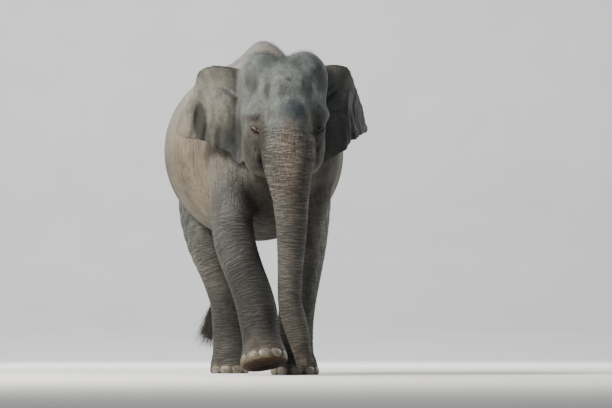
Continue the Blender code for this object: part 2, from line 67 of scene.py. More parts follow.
Array = np.ndarray
Piece, Mesh, Material, Socket = (
    bpy.types.Object, bpy.types.Mesh, bpy.types.Material, bpy.types.NodeSocket)

SHIFT = np.array((0.05718, 0.10464, -0.01))     # from the anatomy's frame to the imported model's
FAR = 10.0                                      # further than any place on the model
HEAD_TURN = math.radians(2.5)
HEAD_PIVOT = (0.0, -0.95)
LEGS = ("fore_left", "fore_right", "hind_left", "hind_right")
# brown lid skin, darkened further as painted shade of the eye's recess
LID_BROWN_AND_SHADE_TONE = (0.052, 0.038, 0.03)
# painted highlight where the upper lid's edge catches the light
LID_HIGHLIGHT_TONE = (0.21, 0.185, 0.16)
TOE_TONE = (0.15, 0.128, 0.098)
PAD_TONE = (0.042, 0.018, 0.004)
PAD_RIM_TONE = (0.165, 0.122, 0.07)
NAIL_ANGLES = {"fore": (-72, -36, 0, 36, 72), "hind": (-54, -18, 18, 54)}
CORNERS = [(i, j, k) for i in (0, 1) for j in (0, 1) for k in (0, 1)]


# ---------------------------------------------------------------- small maths

def smooth_step(low: float, high: float, value: Array) -> Array:
    """0 below low, 1 above high, and an even S between."""
    t = np.clip((value - low) / (high - low), 0.0, 1.0)
    return t * t * (3.0 - 2.0 * t)


def smooth_union(a: Array, b: Array, blend: float | Array) -> Array:
    """The nearer of two distances, rounded off where they are about equal."""
    h = np.clip(0.5 + 0.5 * (b - a) / blend, 0.0, 1.0)
    return b + (a - b) * h - blend * h * (1.0 - h)


def smooth_cut(a: Array, b: Array, blend: float) -> Array:
    """Distance a with body b taken away, rounded at the rim."""
    return -smooth_union(-a, b, blend)


def smooth_max(a: Array, b: Array, blend: float) -> Array:
    """The greater of two heights, rounded off where they are about equal."""
    return -smooth_union(-a, -b, blend)


def bell(value: Array, middle: float, width: float) -> Array:
    """1 at the middle, falling off evenly to both sides."""
    return np.exp(-((value - middle) / width) ** 2)


def unit(way: Iterable) -> Array:
    """The direction with a length of one."""
    way = np.asarray(way, dtype=float)
    return way / np.linalg.norm(way)


def lattice_noise(points: Array, scale: float | tuple, seed: int = 0) -> Array:
    """Smooth value noise from -1 to 1.

    Args:
        points: places, one to a row.
        scale: cells to a metre, one number or one for each axis.
        seed: picks the pattern.

    Returns:
        One value to each place.
    """
    q = points * np.asarray(scale, dtype=float) + 17.3 * (seed + 1)
    base = np.floor(q).astype(np.int64)
    t = q - base
    t = t * t * (3.0 - 2.0 * t)
    total = np.zeros(len(points))
    for i, j, k in CORNERS:
        n = (base[:, 0] + i) * 73856093 ^ (base[:, 1] + j) * 19349663 ^ (base[:, 2] + k) * 83492791
        n = (n ^ (seed * 2654435761)) & 0x7FFFFFFF
        n = (n * 1103515245 + 12345) & 0x7FFFFFFF
        n = (n ^ (n >> 13)) * 1274126177 & 0x7FFFFFFF
        value = (n & 0xFFFF) / 32767.5 - 1.0
        weight = (t[:, 0] if i else 1 - t[:, 0]) * (t[:, 1] if j else 1 - t[:, 1])
        total += value * weight * (t[:, 2] if k else 1 - t[:, 2])
    return total


def blended(colour: Array, other: Iterable, share: Array) -> Array:
    """The colours with this share of another one mixed in."""
    return colour + share[:, None] * (np.array(other) - colour)


def rounded_line(stations: Iterable, steps: int) -> Array:
    """The stations joined by a smooth line, with a number of steps between each two."""
    rows = np.array(stations, dtype=float)
    padded = np.vstack([2 * rows[0] - rows[1], rows, 2 * rows[-1] - rows[-2]])
    line = []
    for i in range(len(rows) - 1):
        p0, p1, p2, p3 = padded[i:i + 4]
        for t in np.arange(steps) / steps:
            line.append(0.5 * (2 * p1 + (p2 - p0) * t + (2 * p0 - 5 * p1 + 4 * p2 - p3) * t * t
                               + (3 * p1 - p0 - 3 * p2 + p3) * t ** 3))
    line.append(rows[-1])
    return np.array(line)


def swung(x: Array, y: Array, way: float, about: tuple = (0.0, 0.0)) -> tuple:
    """A step over the ground turned as the head is (way 1) or back again (way -1)."""
    cos, sin = math.cos(HEAD_TURN), way * math.sin(HEAD_TURN)
    return about[0] + cos * x - sin * y, about[1] + sin * x + cos * y


def turn_head(points: Array) -> Array:
    """Points of the body's frame in the straight head's own frame."""
    x, y = points[:, 0] - HEAD_PIVOT[0], points[:, 1] - HEAD_PIVOT[1]
    return np.stack([*swung(x, y, -1.0, HEAD_PIVOT), points[:, 2]], axis=1)


def place_on_head(point: Iterable) -> Array:
    """A point of the straight head's frame, in the body's frame."""
    x, y, z = point
    return np.array((*swung(x - HEAD_PIVOT[0], y - HEAD_PIVOT[1], 1.0, HEAD_PIVOT), z))


def mirrored_x(points: Array) -> Array:
    """Points folded onto the left side."""
    folded = points.copy()
    folded[:, 0] = np.abs(points[:, 0])
    return folded


# ---------------------------------------------------------------- anatomy

@dataclass
class Tube:
    """A tube of oval section along stations of x, y, z, half-width and half-depth."""

    stations: tuple
    steps: int = 3
    line: Array = field(init=False)
    lengths: Array = field(init=False)

    def __post_init__(self) -> None:
        """Works out the smooth middle line and how far along it each row lies."""
        self.line = rounded_line(self.stations, self.steps)
        runs = np.linalg.norm(np.diff(self.line[:, :3], axis=0), axis=1)
        self.lengths = np.concatenate([[0.0], np.cumsum(runs)])

    def distance(self, points: Array, reach: float = 0.22) -> Array:
        """Distance to the tube's surface; segments further than reach are left out."""
        low, high = points.min(axis=0) - reach, points.max(axis=0) + reach
        best = np.full(len(points), FAR)
        for start, end in zip(self.line[:-1], self.line[1:]):
            room = max(start[3], start[4], end[3], end[4])
            if np.any(np.minimum(start[:3], end[:3]) - room > high) \
                    or np.any(np.maximum(start[:3], end[:3]) + room < low):
                continue
            run = end[:3] - start[:3]
            length = np.linalg.norm(run)
            along = run / length
            side = unit(np.array((1.0, 0.0, 0.0)) - along[0] * along)
            deep = np.cross(along, side)
            q = points - start[:3]
            t = np.clip(q @ along / length, 0.0, 1.0)
            q = q - t[:, None] * run
            wide = start[3] + t * (end[3] - start[3])
            thick = start[4] + t * (end[4] - start[4])
            cap = np.minimum(wide, thick)
            size = np.sqrt((q @ side / wide) ** 2 + (q @ deep / thick) ** 2 + (q @ along / cap) ** 2)
            away = np.linalg.norm(q, axis=1)
            best = np.minimum(best, away - np.where(size > 1e-4, away / np.maximum(size, 1e-4), cap))
        return best

    def length_along(self, points: Array) -> Array:
        """How far along the middle line the nearest spot of it lies."""
        nearest = np.full(len(points), FAR)
        found = np.zeros(len(points))
        for i, (start, end) in enumerate(zip(self.line[:-1, :3], self.line[1:, :3])):
            run = end - start
            t = np.clip((points - start) @ run / (run @ run), 0.0, 1.0)
            away = np.linalg.norm(points - start - t[:, None] * run, axis=1)
            closer = away < nearest
            nearest = np.where(closer, away, nearest)
            found = np.where(closer, self.lengths[i] + t * (self.lengths[i + 1] - self.lengths[i]), found)
        return found


def tube(*stations: tuple, steps: int = 3) -> Tube:
    """A field that holds a tube along these stations."""
    return field(default_factory=lambda: Tube(stations, steps))


@dataclass(frozen=True)
class Mass:
    """A rounded mass or hollow of the straight head: where, how big and how softly it blends."""

    centre: tuple
    radii: tuple
    blend: float

    def distance(self, points: Array) -> Array:
        """Distance to the mass's surface, true close to it."""
        q = points - np.array(self.centre)
        r = np.array(self.radii)
        k0 = np.linalg.norm(q / r, axis=1)
        k1 = np.linalg.norm(q / (r * r), axis=1)
        return k0 * (k0 - 1.0) / np.maximum(k1, 1e-6)


class Side(Enum):
    """The elephant's own left and right."""

    LEFT = 1.0
    RIGHT = -1.0

    @property
    def label(self) -> str:
        """The word used in node names."""
        return self.name.lower()


# Reach and height round the left ear, which stands further out than the right one.
LEFT_EAR_RIM = (
    (0.02, 1.565), (0.06, 1.58), (0.11, 1.62), (0.2, 1.675), (0.286, 1.743), (0.361, 1.771),
    (0.49, 1.804), (0.56, 1.826), (0.559, 1.885), (0.534, 1.992), (0.483, 2.06), (0.4, 2.135),
    (0.31, 2.215), (0.215, 2.29), (0.12, 2.312), (0.05, 2.295), (-0.04, 2.225), (-0.07, 2.17),
    (-0.06, 1.62),
)


@dataclass
class EarSheet:
    """One ear: a bowed, draped sheet with a rim drawn outward and upward from its root."""

    side: Side
    foot_spread: float
    top_spread: float
    at: tuple = (0.3, -0.985)
    rim: tuple = (
        (0.02, 1.565), (0.05, 1.575), (0.085, 1.6), (0.105, 1.655), (0.205, 1.7), (0.31, 1.745),
        (0.44, 1.765), (0.545, 1.788),
        (0.555, 1.835), (0.505, 1.96), (0.44, 2.1), (0.365, 2.23), (0.28, 2.285), (0.16, 2.3),
        (0.05, 2.275), (-0.04, 2.225), (-0.07, 2.17), (-0.06, 1.62),
    )
    thick: float = 0.03
    bow: float = 0.062
    fold: float = 0.045
    gutter: float = 0.038
    margin_fold: float = 0.045
    drape: float = 0.012
    outline: Array = field(init=False)

    def __post_init__(self) -> None:
        """Draws the rim as a fine closed line."""
        rows = [(*spot, 0.0) for spot in self.rim]
        line = rounded_line(rows, 5)[:, :2]
        self.outline = np.vstack([line, line[:1]])

    def sheet_coordinates(self, own: Array) -> tuple[Array, Array, Array]:
        """Outward reach, height and distance in front of the sheet's middle, of head points."""
        x, y, z = own[:, 0] * self.side.value, own[:, 1], own[:, 2]
        share = smooth_step(1.75, 2.25, z)
        spread = np.radians(self.foot_spread + (self.top_spread - self.foot_spread) * share)
        dx, dy = x - self.at[0], y - self.at[1]
        s = dx * np.sin(spread) + dy * np.cos(spread)
        n = dx * np.cos(spread) - dy * np.sin(spread)
        reach = np.clip(s / 0.5, 0.0, 1.0)
        n = n - self.bow * np.sin(np.pi * reach) * smooth_step(0.0, 0.22, s)
        n = n + self.gutter * bell(s, 0.055, 0.05)
        n = n - self.fold * smooth_step(2.17, 2.3, z) * reach
        return s, z, self.with_margin(s, z, self.with_flap(s, z, self.with_drape(s, z, n)))

    def with_drape(self, s: Array, z: Array, n: Array) -> Array:
        """The distance with the hanging folds of the ear's cloth taken into account."""
        hang = smooth_step(0.08, 0.26, s) * smooth_step(2.2, 1.9, z) * smooth_step(0.5, 0.36, s)
        sway = 0.9 * np.sin(z * 7.0 + 1.0) + 0.5 * np.sin(z * 17.0)
        n = n - self.drape * hang * np.sin(s * 46.0 - z * 5.0 + sway)
        n = n - 0.006 * hang * np.sin(s * 97.0 + z * 4.0 + 2.0 * sway)
        return n - 0.008 * smooth_step(0.02, 0.2, s) * np.sin(z * 17.0 + s * 6.0)

    @staticmethod
    def with_flap(s: Array, z: Array, n: Array) -> Array:
        """The distance with the slanting crease and ridge at the ear's upper root."""
        under = ((z - 2.195) - 0.9 * (s - 0.185)) / 1.35
        flap = smooth_step(0.02, 0.06, s) * smooth_step(0.175, 0.12, s)
        return n + flap * (0.02 * bell(under, -0.026, 0.02) - 0.012 * bell(under, 0.0, 0.02))

    def with_margin(self, s: Array, z: Array, n: Array) -> Array:
        """The distance with the outer margin folded back behind a low ridge."""
        margin = smooth_step(0.37, 0.5, s) * smooth_step(1.68, 1.8, z) * smooth_step(2.16, 2.02, z)
        ridge = bell(s, 0.375, 0.035) * smooth_step(1.74, 1.82, z) * smooth_step(2.1, 2.0, z)
        return n - self.margin_fold * margin + 0.44 * self.margin_fold * ridge

    def past_rim(self, s: Array, z: Array) -> Array:
        """How far sheet places lie outside the rim, negative inside it."""
        flat = np.stack([s, z], axis=1)
        away = np.full(len(flat), FAR)
        inside = np.zeros(len(flat), dtype=bool)
        for a, b in zip(self.outline[:-1], self.outline[1:]):
            run = b - a
            q = flat - a
            t = np.clip(q @ run / max(run @ run, 1e-12), 0.0, 1.0)
            away = np.minimum(away, np.linalg.norm(q - t[:, None] * run, axis=1))
            crosses = (a[1] > z) != (b[1] > z)
            if a[1] != b[1]:
                cut = a[0] + (z - a[1]) / (b[1] - a[1]) * run[0]
                inside ^= crosses & (s < cut)
        return np.where(inside, -away, away)

    def distance(self, own: Array) -> Array:
        """Distance to the ear's skin, of points in the straight head's frame."""
        best = np.full(len(own), FAR)
        x = own[:, 0] * self.side.value
        near = (x > 0.12) & (np.abs(own[:, 1] + 0.825) < 0.425) & (np.abs(own[:, 2] - 1.95) < 0.5)
        if not near.any():
            return best
        s, z, n = self.sheet_coordinates(own[near])
        ragged = 0.006 * lattice_noise(own[near], 26.0, 5) + 0.004 * lattice_noise(own[near], 60.0, 6)
        edge = self.past_rim(s, z) + ragged * smooth_step(0.1, 0.25, s)
        half = self.thick / 2 * (1.0 - 0.42 * smooth_step(0.0, 0.35, s)) + 0.004 * smooth_step(2.2, 2.3, z)
        slopes = [(self.sheet_coordinates(own[near] + way)[2] - n) / 0.001 for way in np.eye(3) * 0.001]
        steep = np.sqrt(sum(slope * slope for slope in slopes))
        best[near] = smooth_max(edge, np.abs(n) / np.maximum(steep, 1.0) - half, 0.008)
        return best


@dataclass
class Anatomy:
    """The distance field of the whole elephant, in its own frame."""

    torso: Tube = tube(
        (0.0, -0.74, 1.59, 0.32, 0.38), (-0.01, -0.56, 1.65, 0.45, 0.54),
        (-0.05, -0.25, 1.675, 0.575, 0.635), (-0.1, 0.1, 1.69, 0.645, 0.675),
        (-0.11, 0.42, 1.7, 0.665, 0.665), (-0.09, 0.68, 1.7, 0.61, 0.6),
        (-0.03, 0.86, 1.69, 0.49, 0.47), steps=2)
    spine: Tube = tube(
        (0.0, -0.72, 2.12, 0.15, 0.16), (-0.03, -0.3, 2.31, 0.12, 0.145),
        (-0.04, 0.15, 2.385, 0.11, 0.135), (-0.04, 0.45, 2.355, 0.115, 0.135),
        (-0.03, 0.8, 2.16, 0.14, 0.14), (0.0, 1.04, 1.93, 0.12, 0.13), steps=2)
    neck: Tube = tube(
        (0.0, -0.6, 1.86, 0.36, 0.4), (0.0, -0.85, 1.89, 0.295, 0.36),
        (0.0, -1.08, 1.93, 0.255, 0.33), steps=2)
    throat: Tube = tube(
        (0.0, -0.7, 1.52, 0.24, 0.24), (0.0, -1.0, 1.62, 0.18, 0.17), steps=2)
    jaw: Tube = tube(
        (0.0, -1.0, 1.66, 0.205, 0.16), (0.0, -1.09, 1.56, 0.175, 0.135),
        (0.0, -1.17, 1.475, 0.125, 0.09), (0.0, -1.23, 1.415, 0.06, 0.045))
    trunk: Tube = tube(
        (0.0, -1.3, 1.96, 0.13, 0.13), (0.0, -1.355, 1.8, 0.165, 0.15),
        (0.0, -1.385, 1.676, 0.182, 0.163), (0.0, -1.4, 1.544, 0.174, 0.158),
        (0.004, -1.405, 1.433, 0.157, 0.148), (0.012, -1.405, 1.323, 0.136, 0.134),
        (0.016, -1.405, 1.227, 0.126, 0.124), (0.02, -1.405, 1.095, 0.114, 0.114),
        (0.016, -1.4, 0.926, 0.101, 0.102), (0.011, -1.39, 0.757, 0.092, 0.094),
        (0.008, -1.385, 0.56, 0.087, 0.09), (0.036, -1.388, 0.43, 0.091, 0.088),
        (0.066, -1.405, 0.31, 0.084, 0.08), (0.088, -1.43, 0.2, 0.067, 0.067),
        (0.104, -1.463, 0.118, 0.06, 0.055))
    tail: Tube = tube(
        (0.0, 1.1, 1.92, 0.085, 0.08), (0.0, 1.22, 1.8, 0.06, 0.055),
        (-0.03, 1.3, 1.5, 0.042, 0.038), (-0.11, 1.32, 1.15, 0.032, 0.03),
        (-0.22, 1.31, 0.8, 0.026, 0.024), (-0.34, 1.29, 0.52, 0.022, 0.02),
        (-0.368, 1.28, 0.4, 0.018, 0.017))
    legs: dict = field(default_factory=lambda: {
        "fore_left": Tube((
            (0.3, -0.58, 1.72, 0.165, 0.26), (0.245, -0.61, 1.4, 0.162, 0.225),
            (0.2, -0.6, 1.165, 0.15, 0.195), (0.18, -0.6, 0.99, 0.142, 0.175),
            (0.162, -0.61, 0.76, 0.137, 0.16), (0.144, -0.62, 0.54, 0.132, 0.156),
            (0.13, -0.61, 0.4, 0.124, 0.14), (0.126, -0.605, 0.25, 0.124, 0.138),
            (0.127, -0.61, 0.15, 0.138, 0.153), (0.128, -0.62, 0.075, 0.168, 0.176),
            (0.128, -0.625, 0.0, 0.186, 0.188))),
        "fore_right": Tube((
            (-0.31, -0.62, 1.72, 0.185, 0.26), (-0.335, -0.68, 1.4, 0.175, 0.225),
            (-0.35, -0.74, 1.165, 0.158, 0.195), (-0.325, -0.82, 0.96, 0.152, 0.175),
            (-0.27, -0.89, 0.78, 0.145, 0.162), (-0.209, -0.95, 0.6, 0.146, 0.16),
            (-0.174, -1.0, 0.44, 0.147, 0.152), (-0.158, -1.05, 0.3, 0.142, 0.144),
            (-0.146, -1.09, 0.21, 0.15, 0.152), (-0.14, -1.13, 0.145, 0.168, 0.17),
            (-0.142, -1.162, 0.075, 0.18, 0.186))),
        "hind_left": Tube((
            (0.29, 0.82, 1.58, 0.25, 0.34), (0.315, 0.84, 1.3, 0.215, 0.32),
            (0.325, 0.88, 1.02, 0.18, 0.25), (0.32, 0.95, 0.78, 0.148, 0.185),
            (0.312, 1.05, 0.57, 0.126, 0.152), (0.306, 1.12, 0.42, 0.12, 0.143),
            (0.304, 1.15, 0.28, 0.119, 0.138), (0.302, 1.15, 0.16, 0.126, 0.15),
            (0.3, 1.14, 0.07, 0.145, 0.172), (0.3, 1.13, 0.0, 0.152, 0.18))),
        "hind_right": Tube((
            (-0.335, 0.82, 1.58, 0.275, 0.34), (-0.4, 0.76, 1.3, 0.243, 0.33),
            (-0.393, 0.68, 1.02, 0.193, 0.26), (-0.333, 0.67, 0.78, 0.15, 0.19),
            (-0.286, 0.71, 0.57, 0.123, 0.155), (-0.27, 0.75, 0.42, 0.119, 0.143),
            (-0.262, 0.75, 0.28, 0.119, 0.138), (-0.258, 0.73, 0.16, 0.126, 0.15),
            (-0.257, 0.71, 0.07, 0.145, 0.172), (-0.257, 0.7, 0.0, 0.152, 0.18))),
    })
    masses: tuple = (
        Mass((-0.008, -1.08, 2.04), (0.322, 0.33, 0.32), 0.06),
        Mass((0.0, -1.21, 2.04), (0.235, 0.215, 0.24), 0.08),
        Mass((0.0, -1.325, 1.9), (0.15, 0.16, 0.18), 0.06),
        Mass((0.032, -1.415, 1.965), (0.098, 0.088, 0.08), 0.035),
    )
    paired_masses: tuple = (
        Mass((0.155, -1.07, 2.195), (0.178, 0.225, 0.207), 0.045),
        Mass((0.232, -1.21, 1.935), (0.094, 0.138, 0.085), 0.055),
        Mass((0.19, -1.08, 1.72), (0.12, 0.2, 0.23), 0.08),
        Mass((0.205, -1.235, 1.8), (0.08, 0.11, 0.11), 0.05),
        Mass((0.12, -1.36, 1.62), (0.06, 0.085, 0.13), 0.05),
    )
    paired_hollows: tuple = (
        Mass((0.345, -1.315, 2.08), (0.066, 0.14, 0.115), 0.06),
        Mass((0.285, -1.312, 2.165), (0.056, 0.085, 0.1), 0.07),
        Mass((0.18, -1.47, 1.72), (0.012, 0.07, 0.13), 0.03),
        Mass((0.15, -1.43, 2.12), (0.026, 0.05, 0.1), 0.05),
        Mass((0.03, -1.5, 2.075), (0.09, 0.07, 0.045), 0.055),
        Mass((0.0, -1.47, 2.3), (0.016, 0.07, 0.09), 0.04),
        Mass((0.188, -1.345, 1.585), (0.018, 0.04, 0.016), 0.02),
    )
    ear_pocket: Mass = Mass((0.333, -1.008, 1.92), (0.024, 0.032, 0.33), 0.012)
    dimple: Mass = Mass((-0.005, -1.447, 2.185), (0.009, 0.018, 0.007), 0.014)
    raised_sole: tuple = (-0.142, -1.165, 0.09)
    raised_normal: tuple = (0.135, -0.306, -0.942)
    rim_round: float = 0.03
    joins: tuple = (("spine", 0.22), ("neck", 0.16), ("throat", 0.12))     # and how softly they blend
    probes: tuple = ((0.02, 0.3), (0.05, 0.35), (0.12, 0.35))   # heights over the skin, and their weights
    ears: tuple = field(default_factory=lambda: (
        EarSheet(Side.LEFT, 43.5, 40.0, rim=LEFT_EAR_RIM, margin_fold=0.012),
        EarSheet(Side.RIGHT, 46.0, 45.0)))

    def above_sole(self, points: Array) -> Array:
        """Height over the raised foot's sole, square to it."""
        return (np.array(self.raised_sole) - points) @ unit(self.raised_normal)

    def head_distance(self, points: Array) -> Array:
        """Distance to the head with its jaw and trunk, without the ears."""
        own = turn_head(points)
        both = mirrored_x(own)
        head = self.jaw.distance(own)
        for masses, place, joined in (
                (self.masses, own, smooth_union), (self.paired_masses, both, smooth_union),
                (self.paired_hollows, both, smooth_cut), ((self.dimple,), own, smooth_cut)):
            for mass in masses:
                head = joined(head, mass.distance(place), mass.blend)
        trunk_blend = 0.06 + 0.03 * smooth_step(1.48, 1.7, points[:, 2])
        return smooth_union(head, self.trunk.distance(own), trunk_blend)

    def distance(self, points: Array) -> Array:
        """Distance from the elephant's skin, negative inside, for points that lie close together."""
        z = points[:, 2]
        body = self.torso.distance(points)
        for part, blend in self.joins:
            body = smooth_union(body, getattr(self, part).distance(points), blend)
        limb_blend = 0.014 + 0.05 * smooth_step(1.15, 1.65, z)
        for name, leg in self.legs.items():
            sole = self.above_sole(points) if name == "fore_right" else z - 0.008
            limb = smooth_cut(leg.distance(points), sole, self.rim_round)
            body = smooth_union(body, limb, limb_blend)
        body = smooth_union(body, self.tail.distance(points), 0.04)
        return self.with_head(points, body) if points[:, 1].min() < -0.55 else body

    def with_head(self, points: Array, body: Array) -> Array:
        """The body's distance with head and ears joined on."""
        softer = 0.1 * smooth_step(-1.32, -1.05, points[:, 1]) * smooth_step(1.7, 1.95, points[:, 2])
        body = smooth_union(body, self.head_distance(points), 0.012 + softer)
        own = turn_head(points)
        for ear in self.ears:
            root = smooth_step(0.14, 0.04, own[:, 0] * ear.side.value - ear.at[0])
            body = smooth_union(body, ear.distance(own), 0.006 + 0.014 * root)
        pocket = self.ear_pocket
        return smooth_cut(body, pocket.distance(mirrored_x(own)), pocket.blend)

    def openness(self, points: Array, normals: Array) -> Array:
        """1 where the skin faces open air, falling to 0 deep in a crease or between two parts."""
        seen = np.zeros(len(points))
        for height, weight in self.probes:
            seen += weight * np.clip(self.everywhere(points + height * normals) / height, 0.0, 1.0)
        return smooth_step(0.25, 0.92, seen)

    def everywhere(self, points: Array, room: float = 0.25) -> Array:
        """The distance at any points, worked out room by room so that far parts are left out."""
        cell = np.floor(points / room).astype(np.int64)
        key = (cell[:, 0] * 1009 + cell[:, 1]) * 1013 + cell[:, 2]
        order = np.argsort(key, kind="stable")
        borders = np.flatnonzero(np.diff(key[order])) + 1
        values = np.empty(len(points))
        for group in np.split(order, borders):
            values[group] = self.distance(points[group])
        return values

    def slope(self, points: Array, step: float = 0.002) -> tuple[Array, Array]:
        """The distance and its steepest way up, from four points round each one."""
        corners = np.array(((1, -1, -1), (-1, -1, 1), (-1, 1, -1), (1, 1, 1)), dtype=float)
        total = np.zeros(len(points))
        rise = np.zeros((len(points), 3))
        for corner in corners:
            value = self.everywhere(points + step * corner)
            total += value / 4
            rise += value[:, None] * corner
        return total, rise / (4 * step)


# ---------------------------------------------------------------- drawing the skin

@dataclass
class SkinMesher:
    """Draws the field's zero as a mesh of small quads, working only near it."""

    anatomy: Anatomy
    low: tuple = (-0.92, -1.68, -0.06)
    high: tuple = (0.72, 1.44, 2.6)
    cell: float = 0.01
    per_room: int = 6

    @staticmethod
    def grid(sizes: Iterable) -> Array:
        """All index triples of a block with this many cells along each axis."""
        axes = np.meshgrid(*[np.arange(n) for n in sizes], indexing="ij")
        return np.stack(axes, axis=-1).reshape(-1, 3)

    def sampled(self) -> Array:
        """The field on a full grid, true near the skin and only its sign elsewhere."""
        rooms = np.ceil((np.array(self.high) - self.low) / (self.cell * self.per_room)).astype(int)
        size = self.cell * self.per_room
        index = self.grid(rooms)
        middles = np.array(self.low) + (index + 0.5) * size - 0.5 * self.cell
        coarse = self.anatomy.everywhere(middles)
        values = np.where(coarse < 0, -1.0, 1.0).astype(np.float32).reshape(rooms)
        for axis in range(3):
            values = values.repeat(self.per_room, axis)
        near = index[np.abs(coarse) < size * 1.15]
        inner = self.grid([self.per_room] * 3)
        spots = (near[:, None, :] * self.per_room + inner[None]).reshape(-1, 3)
        values[tuple(spots.T)] = self.anatomy.everywhere(np.array(self.low) + spots * self.cell)
        log.info("field: %d of %d rooms, %d samples", len(near), len(index), len(spots))
        return values

    def crossing(self, values: Array, crossed: Array) -> Array:
        """The middle of the spots where the skin cuts each crossed cell's edges."""
        total = np.zeros((len(crossed), 3))
        hits = np.zeros(len(crossed))
        for number, first in enumerate(CORNERS):
            for second in CORNERS[number + 1:]:
                if sum(abs(p - q) for p, q in zip(first, second)) != 1:
                    continue
                v0, v1 = (values[tuple((crossed + c).T)].astype(float) for c in (first, second))
                hit = (v0 < 0.0) != (v1 < 0.0)
                t = np.where(hit, v0 / np.where(hit, v0 - v1, 1.0), 0.0)
                spot = np.array(first) + t[:, None] * (np.array(second) - np.array(first))
                total += np.where(hit[:, None], spot, 0.0)
                hits += hit
        return np.array(self.low) + self.cell * (crossed + total / hits[:, None])

    @staticmethod
    def quads(inside: Array, number: Array) -> Array:
        """One quad to each grid edge that the skin cuts, facing outward."""
        quads = []
        for axis in range(3):
            u, v = (axis + 1) % 3, (axis + 2) % 3
            here = np.moveaxis(inside, axis, 0)
            change = np.argwhere(np.moveaxis(here[:-1] != here[1:], 0, axis))
            change = change[(change[:, u] > 0) & (change[:, v] > 0)]
            step_u, step_v = np.eye(3, dtype=int)[u], np.eye(3, dtype=int)[v]
            ring = [number[tuple((change - s).T)] for s in (0 * step_u, step_u, step_u + step_v, step_v)]
            quad = np.stack(ring, axis=1)
            outward = inside[tuple(change.T)]
            quads.append(np.where(outward[:, None], quad, quad[:, ::-1]))
        return np.vstack(quads)

    def surface(self) -> tuple[Array, Array]:
        """Vertices and quads of the skin, one vertex to each cell that it crosses."""
        values = self.sampled()
        inside = values < 0.0
        cells = np.array(values.shape) - 1
        filled = np.zeros(cells, dtype=np.int8)
        for corner in CORNERS:
            filled += inside[tuple(slice(corner[a], corner[a] + cells[a]) for a in range(3))]
        crossed = np.argwhere((filled > 0) & (filled < len(CORNERS)))
        number = np.full(cells, -1, dtype=np.int32)
        number[tuple(crossed.T)] = np.arange(len(crossed))
        return self.crossing(values, crossed), self.quads(inside, number)


def mesh_from_arrays(name: str, points: Array, faces: Array) -> Mesh:
    """A mesh of faces that all have the same number of corners."""
    mesh = bpy.data.meshes.new(name)
    sides = faces.shape[1]
    mesh.vertices.add(len(points))
    mesh.vertices.foreach_set("co", np.asarray(points, dtype=np.float32).ravel())
    mesh.loops.add(faces.size)
    mesh.loops.foreach_set("vertex_index", faces.astype(np.int32).ravel())
    mesh.polygons.add(len(faces))
    mesh.polygons.foreach_set("loop_start", np.arange(0, faces.size, sides, dtype=np.int32))
    mesh.update(calc_edges=True)
    return mesh


def column(items: object, key: str, width: int = 1, kind: type = np.float32) -> Array:
    """One property of all the vertices, loops or other items of a mesh, one item to a row."""
    flat = np.empty(len(items) * width, dtype=kind)
    items.foreach_get(key, flat)
    return flat.reshape(-1, width) if width > 1 else flat


def mesh_points(mesh: Mesh) -> Array:
    """The mesh's vertices, one to a row."""
    return column(mesh.vertices, "co", 3).astype(float)


def set_mesh_points(mesh: Mesh, points: Array) -> None:
    """Moves the mesh's vertices."""
    mesh.vertices.foreach_set("co", np.asarray(points, dtype=np.float32).ravel())
    mesh.update()


def mesh_normals(mesh: Mesh) -> Array:
    """The mesh's vertex normals, one to a row."""
    return column(mesh.vertex_normals, "vector", 3).astype(float)


def store(mesh: Mesh, name: str, values: Array) -> None:
    """Writes one number, or one direction, to each vertex under this name."""
    kind, key = ("FLOAT_VECTOR", "vector") if values.ndim > 1 else ("FLOAT", "value")
    mesh.attributes.new(name, kind, "POINT").data.foreach_set(key, values.astype(np.float32).ravel())


def round_mesh(name: str, sectors: int, rings: int) -> Mesh:
    """A ball of radius one."""
    work = bmesh.new()
    bmesh.ops.create_uvsphere(work, u_segments=sectors, v_segments=rings, radius=1.0)
    mesh = bpy.data.meshes.new(name)
    work.to_mesh(mesh)
    work.free()
    return mesh


def new_object(name: str, mesh: Mesh) -> Piece:
    """An object of this mesh in the scene, at the origin."""
    obj = bpy.data.objects.new(name, mesh)
    bpy.context.scene.collection.objects.link(obj)
    return obj


def applied(obj: Piece, name: str) -> Mesh:
    """A plain mesh of the object with its modifiers applied."""
    bpy.context.view_layer.update()
    made = bpy.data.meshes.new_from_object(obj.evaluated_get(bpy.context.evaluated_depsgraph_get()))
    made.name = name
    return made


# ---------------------------------------------------------------- folds and lids

@dataclass(frozen=True)
class Folds:
    """A patch of stacked creases: where, across which direction, how far apart and how deep."""

    centre: tuple
    radii: tuple
    across: tuple
    spacing: float
    depth: float
    waver: float = 0.8
    break_up: float = 0.6
    on_head: bool = False

    def drop(self, points: Array, seed: int) -> Array:
        """How far below the smooth skin each place lies."""
        own = mirrored_x(turn_head(points)) if self.on_head else points
        away = np.linalg.norm((own - np.array(self.centre)) / np.array(self.radii), axis=1)
        result = np.zeros(len(points))
        near = away < 1.0
        if not near.any():
            return result
        spot = own[near]
        rough = 0.3 / self.spacing
        phase = spot @ unit(self.across) / self.spacing \
            + self.waver * lattice_noise(spot, 0.35 * rough, seed) \
            + 0.35 * self.waver * lattice_noise(spot, rough, seed + 40)
        crease = np.abs(phase - np.round(phase)) * 2.0
        shape = bell(crease, 0.0, 0.28) - 0.35 * crease
        strength = 1.0 - self.break_up * (0.5 + 0.5 * lattice_noise(spot, 0.55 * rough, seed + 80))
        result[near] = self.depth * shape * strength * smooth_step(1.0, 0.55, away[near])
        return result


